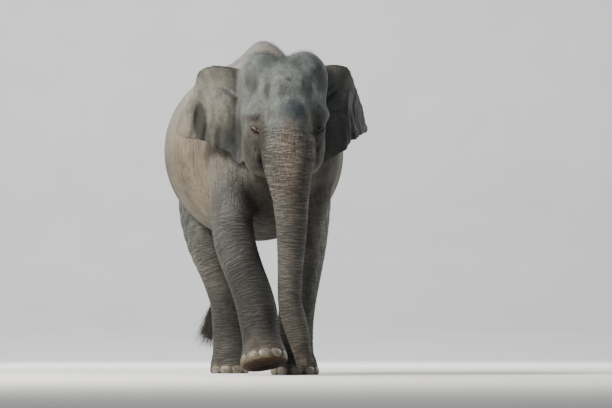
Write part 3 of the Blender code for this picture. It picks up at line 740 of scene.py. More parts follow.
FOLDS = tuple(Folds(*row) for row in (
    ((-0.34, -0.86, 1.22), (0.3, 0.26, 0.4), (0.15, -0.15, 1.0), 0.027, 0.003),
    ((-0.33, -0.9, 0.98), (0.26, 0.26, 0.3), (0.45, -0.1, 1.0), 0.024, 0.0034, 1.2, 0.8),
    ((-0.2, -1.0, 0.42), (0.26, 0.3, 0.17), (-0.15, -0.2, 1.0), 0.026, 0.0048, 0.5, 0.4),
    ((-0.18, -1.02, 0.62), (0.26, 0.3, 0.16), (-0.1, -0.2, 1.0), 0.03, 0.0024),
    ((0.14, -0.62, 0.42), (0.26, 0.3, 0.22), (0.0, 0.1, 1.0), 0.026, 0.0036, 0.5, 0.4),
    ((0.16, -0.62, 0.85), (0.26, 0.3, 0.3), (0.1, 0.1, 1.0), 0.028, 0.0022),
    ((0.24, -0.7, 1.25), (0.3, 0.34, 0.26), (-0.2, -0.1, 1.0), 0.03, 0.003, 1.0),
    ((-0.37, 0.66, 0.95), (0.3, 0.34, 0.42), (-0.1, 0.25, 1.0), 0.028, 0.0036, 0.9),
    ((-0.28, 0.72, 0.44), (0.24, 0.28, 0.3), (0.0, 0.0, 1.0), 0.026, 0.0036, 0.5, 0.4),
    ((0.31, 0.92, 0.95), (0.3, 0.36, 0.42), (0.0, 0.25, 1.0), 0.028, 0.0032, 0.9),
    ((0.305, 1.12, 0.4), (0.24, 0.28, 0.28), (0.0, 0.0, 1.0), 0.026, 0.0036, 0.5, 0.4),
    ((-0.62, 0.1, 1.55), (0.45, 0.85, 0.75), (0.25, 1.0, 0.1), 0.06, 0.0042, 1.0, 0.9),
    ((0.52, 0.1, 1.55), (0.45, 0.85, 0.75), (-0.25, 1.0, 0.1), 0.06, 0.0042, 1.0, 0.9),
    ((-0.48, 0.55, 1.22), (0.36, 0.34, 0.42), (0.3, 0.9, 0.55), 0.07, 0.007, 0.9, 0.7),
    ((0.42, 0.62, 1.22), (0.36, 0.34, 0.42), (-0.3, 0.9, 0.55), 0.07, 0.007, 0.9, 0.7),
    ((0.0, -0.86, 1.62), (0.42, 0.26, 0.34), (0.0, 1.0, 0.25), 0.048, 0.006, 0.8, 0.5),
    ((0.0, 0.1, 1.02), (0.6, 0.8, 0.2), (0.2, 1.0, 0.0), 0.06, 0.004, 1.0, 0.8),
    ((0.0, 1.15, 1.6), (0.45, 0.36, 0.5), (1.0, 0.0, 0.2), 0.06, 0.0045, 1.0, 0.8),
    ((0.216, -1.3, 1.715), (0.07, 0.12, 0.065), (0.1, 0.35, 1.0), 0.017, 0.0026, 0.5, 0.4, True),
    ((0.21, -1.22, 1.62), (0.1, 0.16, 0.12), (0.3, 1.0, 0.5), 0.032, 0.0034, 0.8, 0.6, True),
    ((0.2, -1.1, 1.88), (0.16, 0.16, 0.22), (0.2, 1.0, -0.3), 0.045, 0.0028, 1.0, 0.8, True),
    ((0.0, -1.42, 2.2), (0.2, 0.14, 0.2), (0.2, 0.1, 1.0), 0.05, 0.0018, 1.2, 0.9, True),
))


@dataclass(frozen=True)
class TrunkRings:
    """The rings that ridge the trunk, closer towards the tip."""

    wide_spacing: float = 0.034
    close_spacing: float = 0.02
    depth: float = 0.003
    trunk_length: float = 1.9

    def drop(self, along: Array, points: Array) -> Array:
        """How far below the smooth skin each place lies."""
        change = (self.close_spacing - self.wide_spacing) / self.trunk_length
        turns = np.log(1.0 + change * along / self.wide_spacing) / change
        phase = turns + 0.45 * lattice_noise(points, 7.0, 3) + 0.25 * lattice_noise(points, 16.0, 4)
        crease = np.abs(phase - np.round(phase)) * 2.0
        patchy = 0.7 + 0.3 * lattice_noise(points, 11.0, 9)
        return self.depth * patchy * (bell(crease, 0.0, 0.35) - 0.35)


@dataclass
class EyeSocket:
    """Lids round one eyeball, worked in the eye's own frame: along the slit, up and outward."""

    side: Side
    centre: Array
    radius: float
    outward: tuple = (0.75, -0.66, 0.05)
    slant: float = math.radians(-33.0)
    half_length: float = 0.0265
    inward: float = 0.0055
    half_height: float = 0.0074
    lid: float = 0.0045
    spread: float = 0.052
    creases: tuple = (              # depth, distance from the rim, width, and between which heights
        (0.00204, 0.014, 0.002, -0.004, FAR), (0.0026, 0.02, 0.0026, -0.002, FAR),
        (0.0026, 0.0105, 0.0018, -FAR, 0.002), (0.0022, 0.0175, 0.0024, -FAR, 0.0),
        (0.0018, 0.026, 0.003, -FAR, FAR),
    )

    def axes(self) -> Array:
        """Rows: along the slit towards the trunk, up the lids, outward."""
        x, y, z = self.outward
        way = Vector((self.side.value * x, y, z))
        out = unit(place_on_head(way) - place_on_head((0.0, 0.0, 0.0)))
        front = unit(np.cross((0.0, 0.0, 1.0), out) * -self.side.value)
        up = np.cross(out, front) * -self.side.value
        up = up if up[2] > 0 else -up
        cos, sin = math.cos(self.slant), math.sin(self.slant)
        return np.array((cos * front + sin * up, cos * up - sin * front, out))

    def fullness(self, u: Array) -> Array:
        """How far the slit is open along its length: 1 in its middle, 0 at its ends."""
        return np.clip(1.0 - (u / self.half_length) ** 2, 0.0, 1.0)

    def upper_rim(self, u: Array) -> Array:
        """Height of the upper lid's rim over the slit's line."""
        share = self.fullness(u)
        return (0.003 + 0.0022 * share) * share ** 0.7

    def opening(self, u: Array, v: Array) -> Array:
        """How far a place is from the lids' rims: positive on the lids, negative between them."""
        u = u - self.inward
        tall = np.where(v > 0, self.upper_rim(u), self.half_height * self.fullness(u) ** 0.7)
        past = np.maximum(np.abs(u) - self.half_length, 0.0)
        return np.where(past > 0, np.hypot(past, v), np.abs(v) - tall)

    def stretch(self, u: Array, start: float, full: float, fade: float, end: float) -> Array:
        """1 along one stretch of the slit, its ends given in half lengths."""
        start, full, fade, end = (self.half_length * part for part in (start, full, fade, end))
        return smooth_step(start, full, u) * smooth_step(end, fade, u)

    @staticmethod
    def arch(u: Array, v: Array) -> Array:
        """1 along the thin raised line over the upper lid, which runs on past the inner corner."""
        height = 0.0128 - 6.0 * (u - 0.006) ** 2
        return bell(v, height, 0.0026) * smooth_step(-0.03, -0.018, u) * smooth_step(0.052, 0.036, u)

    def sculpted(self, points: Array) -> Array:
        """The points with those near the eye drawn over the ball as lids."""
        axes = self.axes()
        u, v, w = ((points - self.centre) @ axes.T).T
        away = np.hypot(u, v)
        near = (away < 0.115) & (w > -0.06) & (w < 0.1)
        u, v, w, away = u[near], v[near], w[near], away[near]
        gap = self.opening(u, v)
        over = self.radius + self.lid
        ball = np.sqrt(np.maximum(over ** 2 - away ** 2, 0.0))
        share = smooth_step(self.spread, self.radius * 0.8, away)
        lifted = np.where(away < over, smooth_max(w * (1 - share) + ball * share, w, 0.004), w)
        lifted += 0.0022 * bell(gap, 0.003, 0.0022) * (away < over * 1.1)
        lifted -= sum(depth * bell(gap, middle, width) * (v > low) * (v < high)
                      for depth, middle, width, low, high in self.creases)
        lifted += 0.0035 * self.arch(u, v)
        inner = bell(v + 0.1 * (u - self.half_length), 0.0, 0.005)
        lifted -= 0.011 * self.stretch(u, 0.9, 1.2, 1.5, 2.3) * inner
        lifted -= 0.004 * self.stretch(u, -2.0, -1.3, -1.15, -0.95) * bell(v, 0.0, 0.0035)
        between = smooth_step(0.0008, -0.0016, gap)
        sunk = np.sqrt(np.maximum((self.radius - 0.0045) ** 2 - away ** 2, 0.0))
        lifted = lifted * (1 - between) + (sunk - 0.002) * between
        moved = points.copy()
        moved[near] += (lifted - w)[:, None] * axes[2]
        return moved

    def painted(self, points: Array, colour: Array) -> Array:
        """The colours with painted shade round the eye, in the slit, below it, in the inner corner and along
        the creases, and a painted highlight on the upper lid's edge.
        """
        u, v, _ = ((points - self.centre) @ self.axes().T).T
        near = np.linalg.norm(points - self.centre, axis=1) < 0.1
        gap = self.opening(u, v)
        # brown lids and painted shade of the recess round the eye
        around = smooth_step(0.075, 0.02, np.hypot(u - 0.012, (v + 0.006) * 0.8)) * near
        colour = blended(colour, LID_BROWN_AND_SHADE_TONE, 0.72 * around)
        # painted shade: the slit between the lids, the skin below it, the inner corner's groove (partly a
        # tear stain) and the creases round the eye
        corner = self.stretch(u, 0.6, 1.0, 1.4, 2.5) * bell(v + 0.1 * (u - self.half_length), 0.0, 0.009)
        below = 0.8 * smooth_step(0.02, 0.002, gap) * smooth_step(0.006, -0.002, v)
        creases = sum(bell(gap, middle, 0.002) for middle in (0.0125, 0.018, 0.0262))
        rims = smooth_step(0.005, 0.001, gap)
        dark = np.maximum.reduce([rims, below, corner, 0.45 * creases]) * near
        colour = colour * (1.0 - 0.85 * dark)[:, None]
        # painted highlight along the upper lid's edge
        return blended(colour, LID_HIGHLIGHT_TONE, 0.8 * self.arch(u, v) * near)


@dataclass
class TrunkTip:
    """The end of the trunk: a flat face with two nostrils and one finger above them."""

    middle: tuple = (0.1045, -1.4725, 0.1095)
    aim: tuple = (0.42, -0.3, -1.0)
    nostril_out: float = 0.0185
    nostril_radius: float = 0.0125
    nostril_depth: float = 0.03
    flat: float = 0.017

    def axes(self) -> Array:
        """Rows: across the nostrils, towards the finger, and out of the end."""
        out = unit(self.aim)
        finger = np.array((0.0, -1.0, 0.35))
        finger = unit(finger - (finger @ out) * out)
        return np.array((np.cross(finger, out), finger, out))

    def sculpted(self, own: Array) -> Array:
        """How far each of the head frame's points moves to shape the trunk's end."""
        axes = self.axes()
        q = (own - np.array(self.middle)) @ axes.T
        near = np.linalg.norm(q, axis=1) < 0.13
        u, v, w = q[near].T
        face = smooth_step(-0.03, 0.02, w)
        pressed = np.where(w > self.flat, self.flat + 0.3 * (w - self.flat), w)
        finger = np.exp(-((u / 0.02) ** 2 + ((v - 0.045) / 0.02) ** 2)) * 0.026
        lip = np.exp(-((u / 0.045) ** 2 + ((v + 0.045) / 0.018) ** 2)) * 0.01
        rise = pressed - w + face * (finger + lip)
        for way in (-1, 1):
            away = np.hypot(u - way * self.nostril_out, (v + 0.004) * 0.85)
            hole = smooth_step(self.nostril_radius, self.nostril_radius * 0.55, away)
            rise -= face * self.nostril_depth * hole
            rise += face * 0.003 * bell(away, self.nostril_radius * 1.25, 0.004)
        flare = 0.14 * face * smooth_step(0.13, 0.07, np.hypot(u, v))
        moved = np.zeros_like(own)
        moved[near] = np.stack([flare * u, flare * v, rise], axis=1) @ axes
        return moved


# ---------------------------------------------------------------- the skin

@dataclass(frozen=True)
class Tint:
    """A soft-edged patch of another colour."""

    centre: tuple
    radii: tuple
    colour: tuple
    strength: float
    edge: float = 0.5
    on_head: bool = False
    paired: bool = False
    ear_only: bool = False


def tints(*rows: tuple, **where: bool) -> tuple:
    """Tints that lie in the same way, from rows of centre, radii, colour, strength and edge."""
    return tuple(Tint(*row, **where) for row in rows)


@dataclass(frozen=True)
class SkinColours:
    """Linear colours of the skin and where they lie; many tints are painted shade, on the left side, under
    the body, in the head's hollows, on the ears and partly on the lower legs.
    """

    ground: tuple = (0.122, 0.112, 0.096)
    tints: tuple = (
        *tints(
            ((0.0, 0.2, 2.35), (0.9, 1.5, 0.5), (0.149, 0.142, 0.128), 0.8),
            ((-0.65, 0.0, 1.55), (0.6, 0.95, 0.6), (0.172, 0.143, 0.101), 0.9),
            ((0.6, 0.0, 1.55), (0.55, 1.0, 0.6), (0.159, 0.134, 0.098), 0.8),
            ((-0.34, -0.8, 1.15), (0.24, 0.34, 0.42), (0.07, 0.072, 0.068), 0.85, 0.5),
            # painted shade over the right thigh (this row and the next)
            ((-0.5, 0.62, 1.15), (0.34, 0.36, 0.42), (0.075, 0.078, 0.07), 0.85, 0.5),
            ((-0.7, 0.62, 1.42), (0.24, 0.52, 0.36), (0.076, 0.081, 0.077), 0.85, 0.35),
            ((-0.62, 0.45, 1.95), (0.4, 0.6, 0.45), (0.17, 0.17, 0.152), 0.7),
            # painted shade under the belly
            ((0.0, 0.1, 0.96), (0.46, 1.05, 0.36), (0.012, 0.008, 0.005), 0.96, 0.4),
            # painted shade on the chest between the forelegs
            ((0.01, -0.8, 1.28), (0.28, 0.58, 0.5), (0.02, 0.015, 0.011), 0.95, 0.3),
            # painted shade on the left shoulder
            ((0.36, -0.8, 1.45), (0.22, 0.3, 0.5), (0.026, 0.024, 0.018), 0.9),
        ),
        *tints(
            ((0.0, -1.15, 2.08), (0.5, 0.6, 0.5), (0.085, 0.094, 0.092), 0.95, 0.35),
            ((0.0, -1.2, 2.38), (0.36, 0.35, 0.09), (0.072, 0.083, 0.086), 0.6, 0.8),
            ((0.0, -1.46, 2.25), (0.2, 0.22, 0.1), (0.11, 0.121, 0.118), 0.7, 0.8),
            ((0.035, -1.47, 1.955), (0.1, 0.14, 0.08), (0.033, 0.043, 0.05), 0.92, 0.5),
            # painted shade in the dimple of the forehead
            ((-0.005, -1.44, 2.187), (0.034, 0.09, 0.022), (0.026, 0.024, 0.021), 0.85, 0.8),
            on_head=True),
        *tints(
            ((0.14, -1.44, 2.05), (0.08, 0.1, 0.09), (0.115, 0.128, 0.124), 0.7, 0.8),
            ((0.29, -1.25, 1.965), (0.075, 0.2, 0.055), (0.1, 0.112, 0.108), 0.85, 0.8),
            # painted shade under the brow, above the eye
            ((0.245, -1.33, 1.895), (0.045, 0.12, 0.032), (0.04, 0.034, 0.025), 0.75, 0.8),
            # painted shade in the temple hollows
            ((0.252, -1.3, 2.16), (0.075, 0.2, 0.1), (0.032, 0.031, 0.025), 0.84, 0.8),
            ((0.198, -1.38, 2.12), (0.024, 0.2, 0.11), (0.118, 0.128, 0.122), 0.65, 0.8),
            # painted shade in the upright grooves of the forehead's front
            ((0.158, -1.4, 2.12), (0.024, 0.2, 0.08), (0.036, 0.039, 0.038), 0.85, 0.7),
            ((0.23, -1.22, 1.68), (0.13, 0.24, 0.2), (0.021, 0.02, 0.017), 0.85, 0.6),
            # painted shade in the corners of the mouth
            ((0.19, -1.3, 1.585), (0.045, 0.12, 0.04), (0.024, 0.018, 0.014), 0.85, 0.7),
            # painted shade in the grooves between the eyes and the trunk
            ((0.188, -1.38, 1.7), (0.034, 0.14, 0.2), (0.032, 0.029, 0.024), 0.85, 0.7),
            # painted shade in the crevices where the ears meet the head
            ((0.315, -0.97, 1.72), (0.035, 0.1, 0.22), (0.024, 0.023, 0.019), 0.85, 0.6),
            on_head=True, paired=True),
        *tints(
            ((0.47, -0.8, 1.78), (0.2, 0.6, 0.24), (0.05, 0.048, 0.04), 0.75, 0.7),
            on_head=True, paired=True, ear_only=True),
        *tints(
            ((-0.52, -0.8, 2.1), (0.24, 0.6, 0.28), (0.129, 0.122, 0.101), 0.8, 0.6),
            ((-0.395, -0.9, 2.095), (0.05, 0.3, 0.05), (0.175, 0.175, 0.165), 0.7, 0.7),
            # painted shade in the right ear's folded-back pocket
            ((-0.583, -0.7, 1.87), (0.045, 0.5, 0.15), (0.02, 0.019, 0.017), 0.94, 0.22),
            # painted shade on the right ear's lower part, where it dips behind toward the head
            ((-0.385, -0.85, 1.67), (0.125, 0.4, 0.145), (0.03, 0.033, 0.034), 0.88, 0.5),
            # painted shade over the whole left ear
            ((0.55, -0.8, 1.95), (0.34, 0.6, 0.48), (0.019, 0.021, 0.022), 0.8, 0.5),
            on_head=True, ear_only=True),
        *tints(
            # painted shade on the left side of the face, by the eye
            ((0.245, -1.3, 1.8), (0.075, 0.16, 0.19), (0.024, 0.02, 0.012), 0.8, 0.6),
            # painted shade on the left side of the head
            ((0.33, -1.15, 2.08), (0.13, 0.4, 0.34), (0.038, 0.044, 0.046), 0.7, 0.7),
            ((0.0, -1.55, 1.52), (0.13, 0.2, 0.36), (0.162, 0.126, 0.099), 0.85, 0.6),
            ((0.0, -1.45, 0.75), (0.22, 0.24, 0.66), (0.062, 0.056, 0.047), 0.85, 0.4),
            # painted shade down the trunk's left side
            ((0.13, -1.42, 1.3), (0.06, 0.3, 0.7), (0.05, 0.046, 0.038), 0.75, 0.6),
            ((0.09, -1.46, 0.3), (0.15, 0.17, 0.22), (0.032, 0.027, 0.021), 0.6, 0.6),
            ((0.1, -1.46, 0.13), (0.12, 0.14, 0.14), (0.022, 0.017, 0.012), 0.85, 0.6),
            ((0.12, -1.5, 0.075), (0.05, 0.06, 0.035), (0.13, 0.08, 0.045), 0.7, 0.6),
            on_head=True),
        *tints(
            # darker lower right foreleg, partly its own tone and partly painted shade
            ((-0.2, -1.02, 0.45), (0.4, 0.45, 0.68), (0.018, 0.018, 0.016), 0.9, 0.5),
            ((-0.12, -1.2, 0.235), (0.19, 0.15, 0.075), (0.062, 0.051, 0.038), 0.7, 0.7),
            # painted shade over the left foreleg
            ((0.14, -0.62, 0.35), (0.36, 0.36, 0.95), (0.014, 0.013, 0.01), 0.9, 0.5),
            # darker lower hind legs, partly their own tone and partly painted shade (this row and the next)
            ((-0.28, 0.72, 0.3), (0.34, 0.4, 0.8), (0.03, 0.029, 0.026), 0.88, 0.5),
            ((0.3, 1.1, 0.3), (0.34, 0.45, 0.8), (0.025, 0.024, 0.022), 0.88, 0.5),
        ),
    )

    def painted(self, points: Array, ear: Array) -> Array:
        """The colour at each place, three numbers to a row; ear says how much it lies on an ear."""
        colour = np.tile(np.array(self.ground), (len(points), 1))
        head = turn_head(points)
        wander = 0.16 * lattice_noise(points, 3.2, 21) + 0.1 * lattice_noise(points, 9.0, 22)
        for tint in self.tints:
            own = head if tint.on_head else points
            own = mirrored_x(own) if tint.paired else own
            away = np.linalg.norm((own - np.array(tint.centre)) / np.array(tint.radii), axis=1) + wander
            share = tint.strength * smooth_step(1.0 + 0.5 * tint.edge, 1.0 - tint.edge, away)
            colour = blended(colour, tint.colour, share * ear if tint.ear_only else share)
        return colour


@dataclass
class Skin:
    """The whole skin in one mesh, with its folds, lids, nostrils and painted colour."""

    anatomy: Anatomy
    colours: SkinColours = field(default_factory=SkinColours)
    triangles: int = 188000
    settle_rounds: int = 2
    all_kept: float = 0.085         # radius round eyes and trunk tip where no triangle is dropped
    crease_full: float = 0.004      # depth at which a crease's painted shade is as dark as it gets
    ear_veins: float = 0.0016
    sockets: list = field(default_factory=list)
    tip: TrunkTip = field(default_factory=TrunkTip)
    rings: TrunkRings = field(default_factory=TrunkRings)

    def __post_init__(self) -> None:
        """Takes the eyeballs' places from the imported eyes."""
        for side in Side:
            low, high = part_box(f"eye_{side.label}")
            centre = np.array((low + high) / 2) - SHIFT
            self.sockets.append(EyeSocket(side, centre, (high.z - low.z) / 2))

    def settled(self, points: Array) -> Array:
        """The points moved onto the field's zero."""
        for _ in range(self.settle_rounds):
            value, rise = self.anatomy.slope(points)
            size = np.maximum((rise * rise).sum(axis=1), 0.25)
            points = points - np.clip(value / size, -0.01, 0.01)[:, None] * rise
        return points

    def detail_spots(self) -> list[tuple[Array, tuple]]:
        """Places that need finer quads, each with the radius of every finer level."""
        spots = [(socket.centre + socket.axes()[2] * 0.012, (0.08, 0.058, 0.038)) for socket in self.sockets]
        return [*spots, (place_on_head(self.tip.middle), (0.085, 0.07))]

    def refined(self, points: Array, quads: Array) -> tuple[Array, Array]:
        """The quads near each detail spot split again and again, all as triangles."""
        mesh = mesh_from_arrays("refining", points, quads)
        work = bmesh.new()
        work.from_mesh(mesh)
        bpy.data.meshes.remove(mesh)
        for spot, radii in self.detail_spots():
            place = Vector(spot)
            for radius in radii:
                edges = [e for e in work.edges if all((v.co - place).length < radius for v in e.verts)]
                bmesh.ops.subdivide_edges(work, edges=edges, cuts=1, use_grid_fill=True)
        bmesh.ops.triangulate(work, faces=work.faces)
        work.verts.ensure_lookup_table()
        fine = np.array([tuple(v.co) for v in work.verts])
        corners = np.array([[v.index for v in f.verts] for f in work.faces])
        work.free()
        return fine, corners

    def on_limbs(self, points: Array, along: Array) -> tuple[Array, Array]:
        """How much each place belongs to a leg or the tail, and how far along it lies."""
        limb = np.zeros(len(points))
        for leg in self.anatomy.legs.values():
            near = smooth_step(0.05, 0.015, np.abs(leg.distance(points, FAR))) \
                * smooth_step(1.4, 1.1, points[:, 2])
            along = np.where((near > limb) & (near > 0.02), leg.length_along(points), along)
            limb = np.maximum(limb, near)
        tail = smooth_step(0.03, 0.01, np.abs(self.anatomy.tail.distance(points, FAR)))
        along = np.where(tail > 0.5, self.anatomy.tail.length_along(points), along)
        return np.maximum(limb, tail), along

    def on_ears(self, own: Array) -> Array:
        """How much each of the head frame's points belongs to an ear."""
        ear = np.zeros(len(own))
        for sheet in self.anatomy.ears:
            s, z, n = sheet.sheet_coordinates(own)
            here = smooth_step(0.05, 0.025, np.abs(n)) * smooth_step(0.005, 0.05, s)
            ear = np.maximum(ear, here * (z > 1.5) * (own[:, 0] * sheet.side.value > 0.15))
        return ear

    def region(self, points: Array) -> dict[str, Array]:
        """How much each place belongs to each part, and how far along its limb or trunk it lies."""
        own = turn_head(points)
        y, z = own[:, 1], own[:, 2]
        trunk = smooth_step(0.05, 0.012, np.abs(self.anatomy.trunk.distance(own, FAR))) \
            * smooth_step(1.88, 1.79, z) * smooth_step(-1.2, -1.34, y)
        limb, along = self.on_limbs(points, self.anatomy.trunk.length_along(own))
        ear = self.on_ears(own)
        head = smooth_step(-0.92, -1.02, y) * smooth_step(1.44, 1.52, z) * (1 - ear) * (1 - trunk)
        sole = smooth_step(0.026, 0.014, np.abs(self.anatomy.above_sole(points))) \
            * (points[:, 1] < -0.9) * (points[:, 2] < 0.2)
        return {"trunk": trunk, "limb": limb * (1 - trunk), "ear": ear, "head": head, "along": along,
                "sole": sole}

    def drop(self, points: Array, regions: dict[str, Array]) -> Array:
        """How far the folds lie below the smooth skin."""
        total = self.rings.drop(regions["along"], points) * regions["trunk"]
        calm = 1.0 - np.maximum(regions["ear"], regions["trunk"])
        for number, folds in enumerate(FOLDS):
            total += folds.drop(points, 100 + number) * calm
        own = turn_head(points)
        for sheet in self.anatomy.ears:
            s, z, _ = sheet.sheet_coordinates(own)
            veins = np.abs(lattice_noise(np.stack([s * 5.0 + z * 2.0, z * 7.0, 0 * s], 1), 1.0, 31))
            total += self.ear_veins * bell(veins, 0.0, 0.1) * regions["ear"]
        for socket in self.sockets:
            total *= smooth_step(0.03, 0.07, np.linalg.norm(points - socket.centre, axis=1))
        return total * smooth_step(0.016, 0.05, points[:, 2])

    def sculpted(self, points: Array) -> Array:
        """The points with lids and trunk tip shaped, none of them below the floor."""
        for socket in self.sockets:
            points = socket.sculpted(points)
        shaped = self.tip.sculpted(turn_head(points))
        points = points + np.stack([*swung(shaped[:, 0], shaped[:, 1], 1.0), shaped[:, 2]], axis=1)
        points[:, 2] = np.maximum(points[:, 2], -SHIFT[2])
        return points

    def thinned(self, mesh: Mesh) -> Mesh:
        """The mesh with fewer triangles, but all of them kept at eyes and trunk tip."""
        points = mesh_points(mesh)
        obj = new_object("skin_full", mesh)
        kept = obj.vertex_groups.new(name="thin_here")
        away = np.min([np.linalg.norm(points - spot, axis=1) for spot, _ in self.detail_spots()], axis=0)
        kept.add(np.flatnonzero(away > self.all_kept).tolist(), 1.0, "REPLACE")
        thin = obj.modifiers.new("thin", "DECIMATE")
        thin.vertex_group = kept.name
        thin.ratio = self.triangles / len(mesh.polygons)
        made = applied(obj, "skin")
        bpy.data.objects.remove(obj)
        return made

    def build(self) -> Piece:
        """The skin as an object, coloured and creased."""
        points, quads = SkinMesher(self.anatomy).surface()
        log.info("skin: drawn with %d quads", len(quads))
        points, corners = self.refined(points, quads)
        points = self.settled(points)
        log.info("skin: settled, %d triangles", len(corners))
        mesh = mesh_from_arrays("skin_full", points, corners)
        points = points - self.drop(points, self.region(points))[:, None] * mesh_normals(mesh)
        set_mesh_points(mesh, self.sculpted(points))
        made = self.thinned(mesh)
        log.info("skin: kept %d triangles", len(made.polygons))
        self.dress(made)
        made.transform(Matrix.Translation(SHIFT))
        made.shade_smooth()
        return new_object("skin", made)

    @staticmethod
    def around_nails(points: Array, colour: Array) -> Array:
        """The colours with dusty toes, a dark line round each nail and dark slits between them."""
        low = points[:, 2] < 0.36
        place = points[low]
        nearest = np.full(len(place), FAR)
        for leg in LEGS:
            for number in range(1, len(NAIL_ANGLES[leg[:4]]) + 1):
                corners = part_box(f"nail_{leg}_{number}")
                centre = np.array((corners[0] + corners[1]) / 2) - SHIFT
                q = (place - centre) / np.array((1.0, 1.0, 0.72))
                nearest = np.minimum(nearest, np.linalg.norm(q, axis=1))
        shade = blended(colour[low], TOE_TONE, 0.55 * smooth_step(0.085, 0.05, nearest))
        colour[low] = shade * (1.0 - 0.45 * bell(nearest, 0.056, 0.006))[:, None]
        return colour

    def darkened(self, points: Array, colour: Array) -> Array:
        """The colours with painted shadow along the ears' folded-over upper rims and painted shade inside the
        nostrils.
        """
        own = turn_head(points)
        # painted shadow along each ear's upper rim, under its forward fold
        for sheet in self.anatomy.ears:
            s, z, n = sheet.sheet_coordinates(own)
            top = smooth_step(-0.016, -0.008, sheet.past_rim(s, z)) * smooth_step(2.2, 2.24, z) \
                * smooth_step(0.05, 0.03, np.abs(n)) * (s > 0.08) * (own[:, 0] * sheet.side.value > 0.25)
            colour = colour * (1.0 - 0.75 * top)[:, None]
        # painted shade inside the nostrils
        x, y, z = ((own - np.array(self.tip.middle)) @ self.tip.axes().T).T
        hole = np.exp(-((np.abs(x) - self.tip.nostril_out) ** 2 + y ** 2) / 0.01 ** 2) * (np.abs(z) < 0.05)
        return colour * (1.0 - 0.75 * hole)[:, None]

    def dress(self, mesh: Mesh) -> None:
        """Writes the colours and regions that the finish reads."""
        points = mesh_points(mesh)
        regions = self.region(points)
        colour = self.colours.painted(points, regions["ear"])
        # painted shade: darker where folds, trunk rings and ear veins sink below the smooth skin, lighter
        # where they rise
        crease = np.clip(self.drop(points, regions) / self.crease_full, -1.0, 1.0)
        colour *= (1.0 - 0.3 * np.maximum(crease, 0.0) + 0.14 * np.maximum(-crease, 0.0))[:, None]
        # painted shade: darker deep in creases and between parts, by how open the skin lies to the air
        colour *= (0.25 + 0.75 * self.anatomy.openness(points, mesh_normals(mesh)))[:, None]
        for socket in self.sockets:
            colour = socket.painted(points, colour)
        colour = self.darkened(points, self.around_nails(points, colour))
        middle = np.linalg.norm(points - np.array(self.anatomy.raised_sole), axis=1)
        rim = smooth_step(0.154, 0.172, middle + 0.006 * lattice_noise(points, 30.0, 61))
        pad = blended(np.tile(np.array(PAD_TONE), (len(points), 1)), PAD_RIM_TONE, rim)
        colour = blended(colour, pad, regions["sole"])
        rgba = np.concatenate([colour, np.ones((len(points), 1))], axis=1).astype(np.float32)
        layer = mesh.color_attributes.new("skin_colour", "FLOAT_COLOR", "POINT")
        layer.data.foreach_set("color", rgba.ravel())
        for name, values in regions.items():
            store(mesh, f"skin_{name}", values)


# ---------------------------------------------------------------- finishes

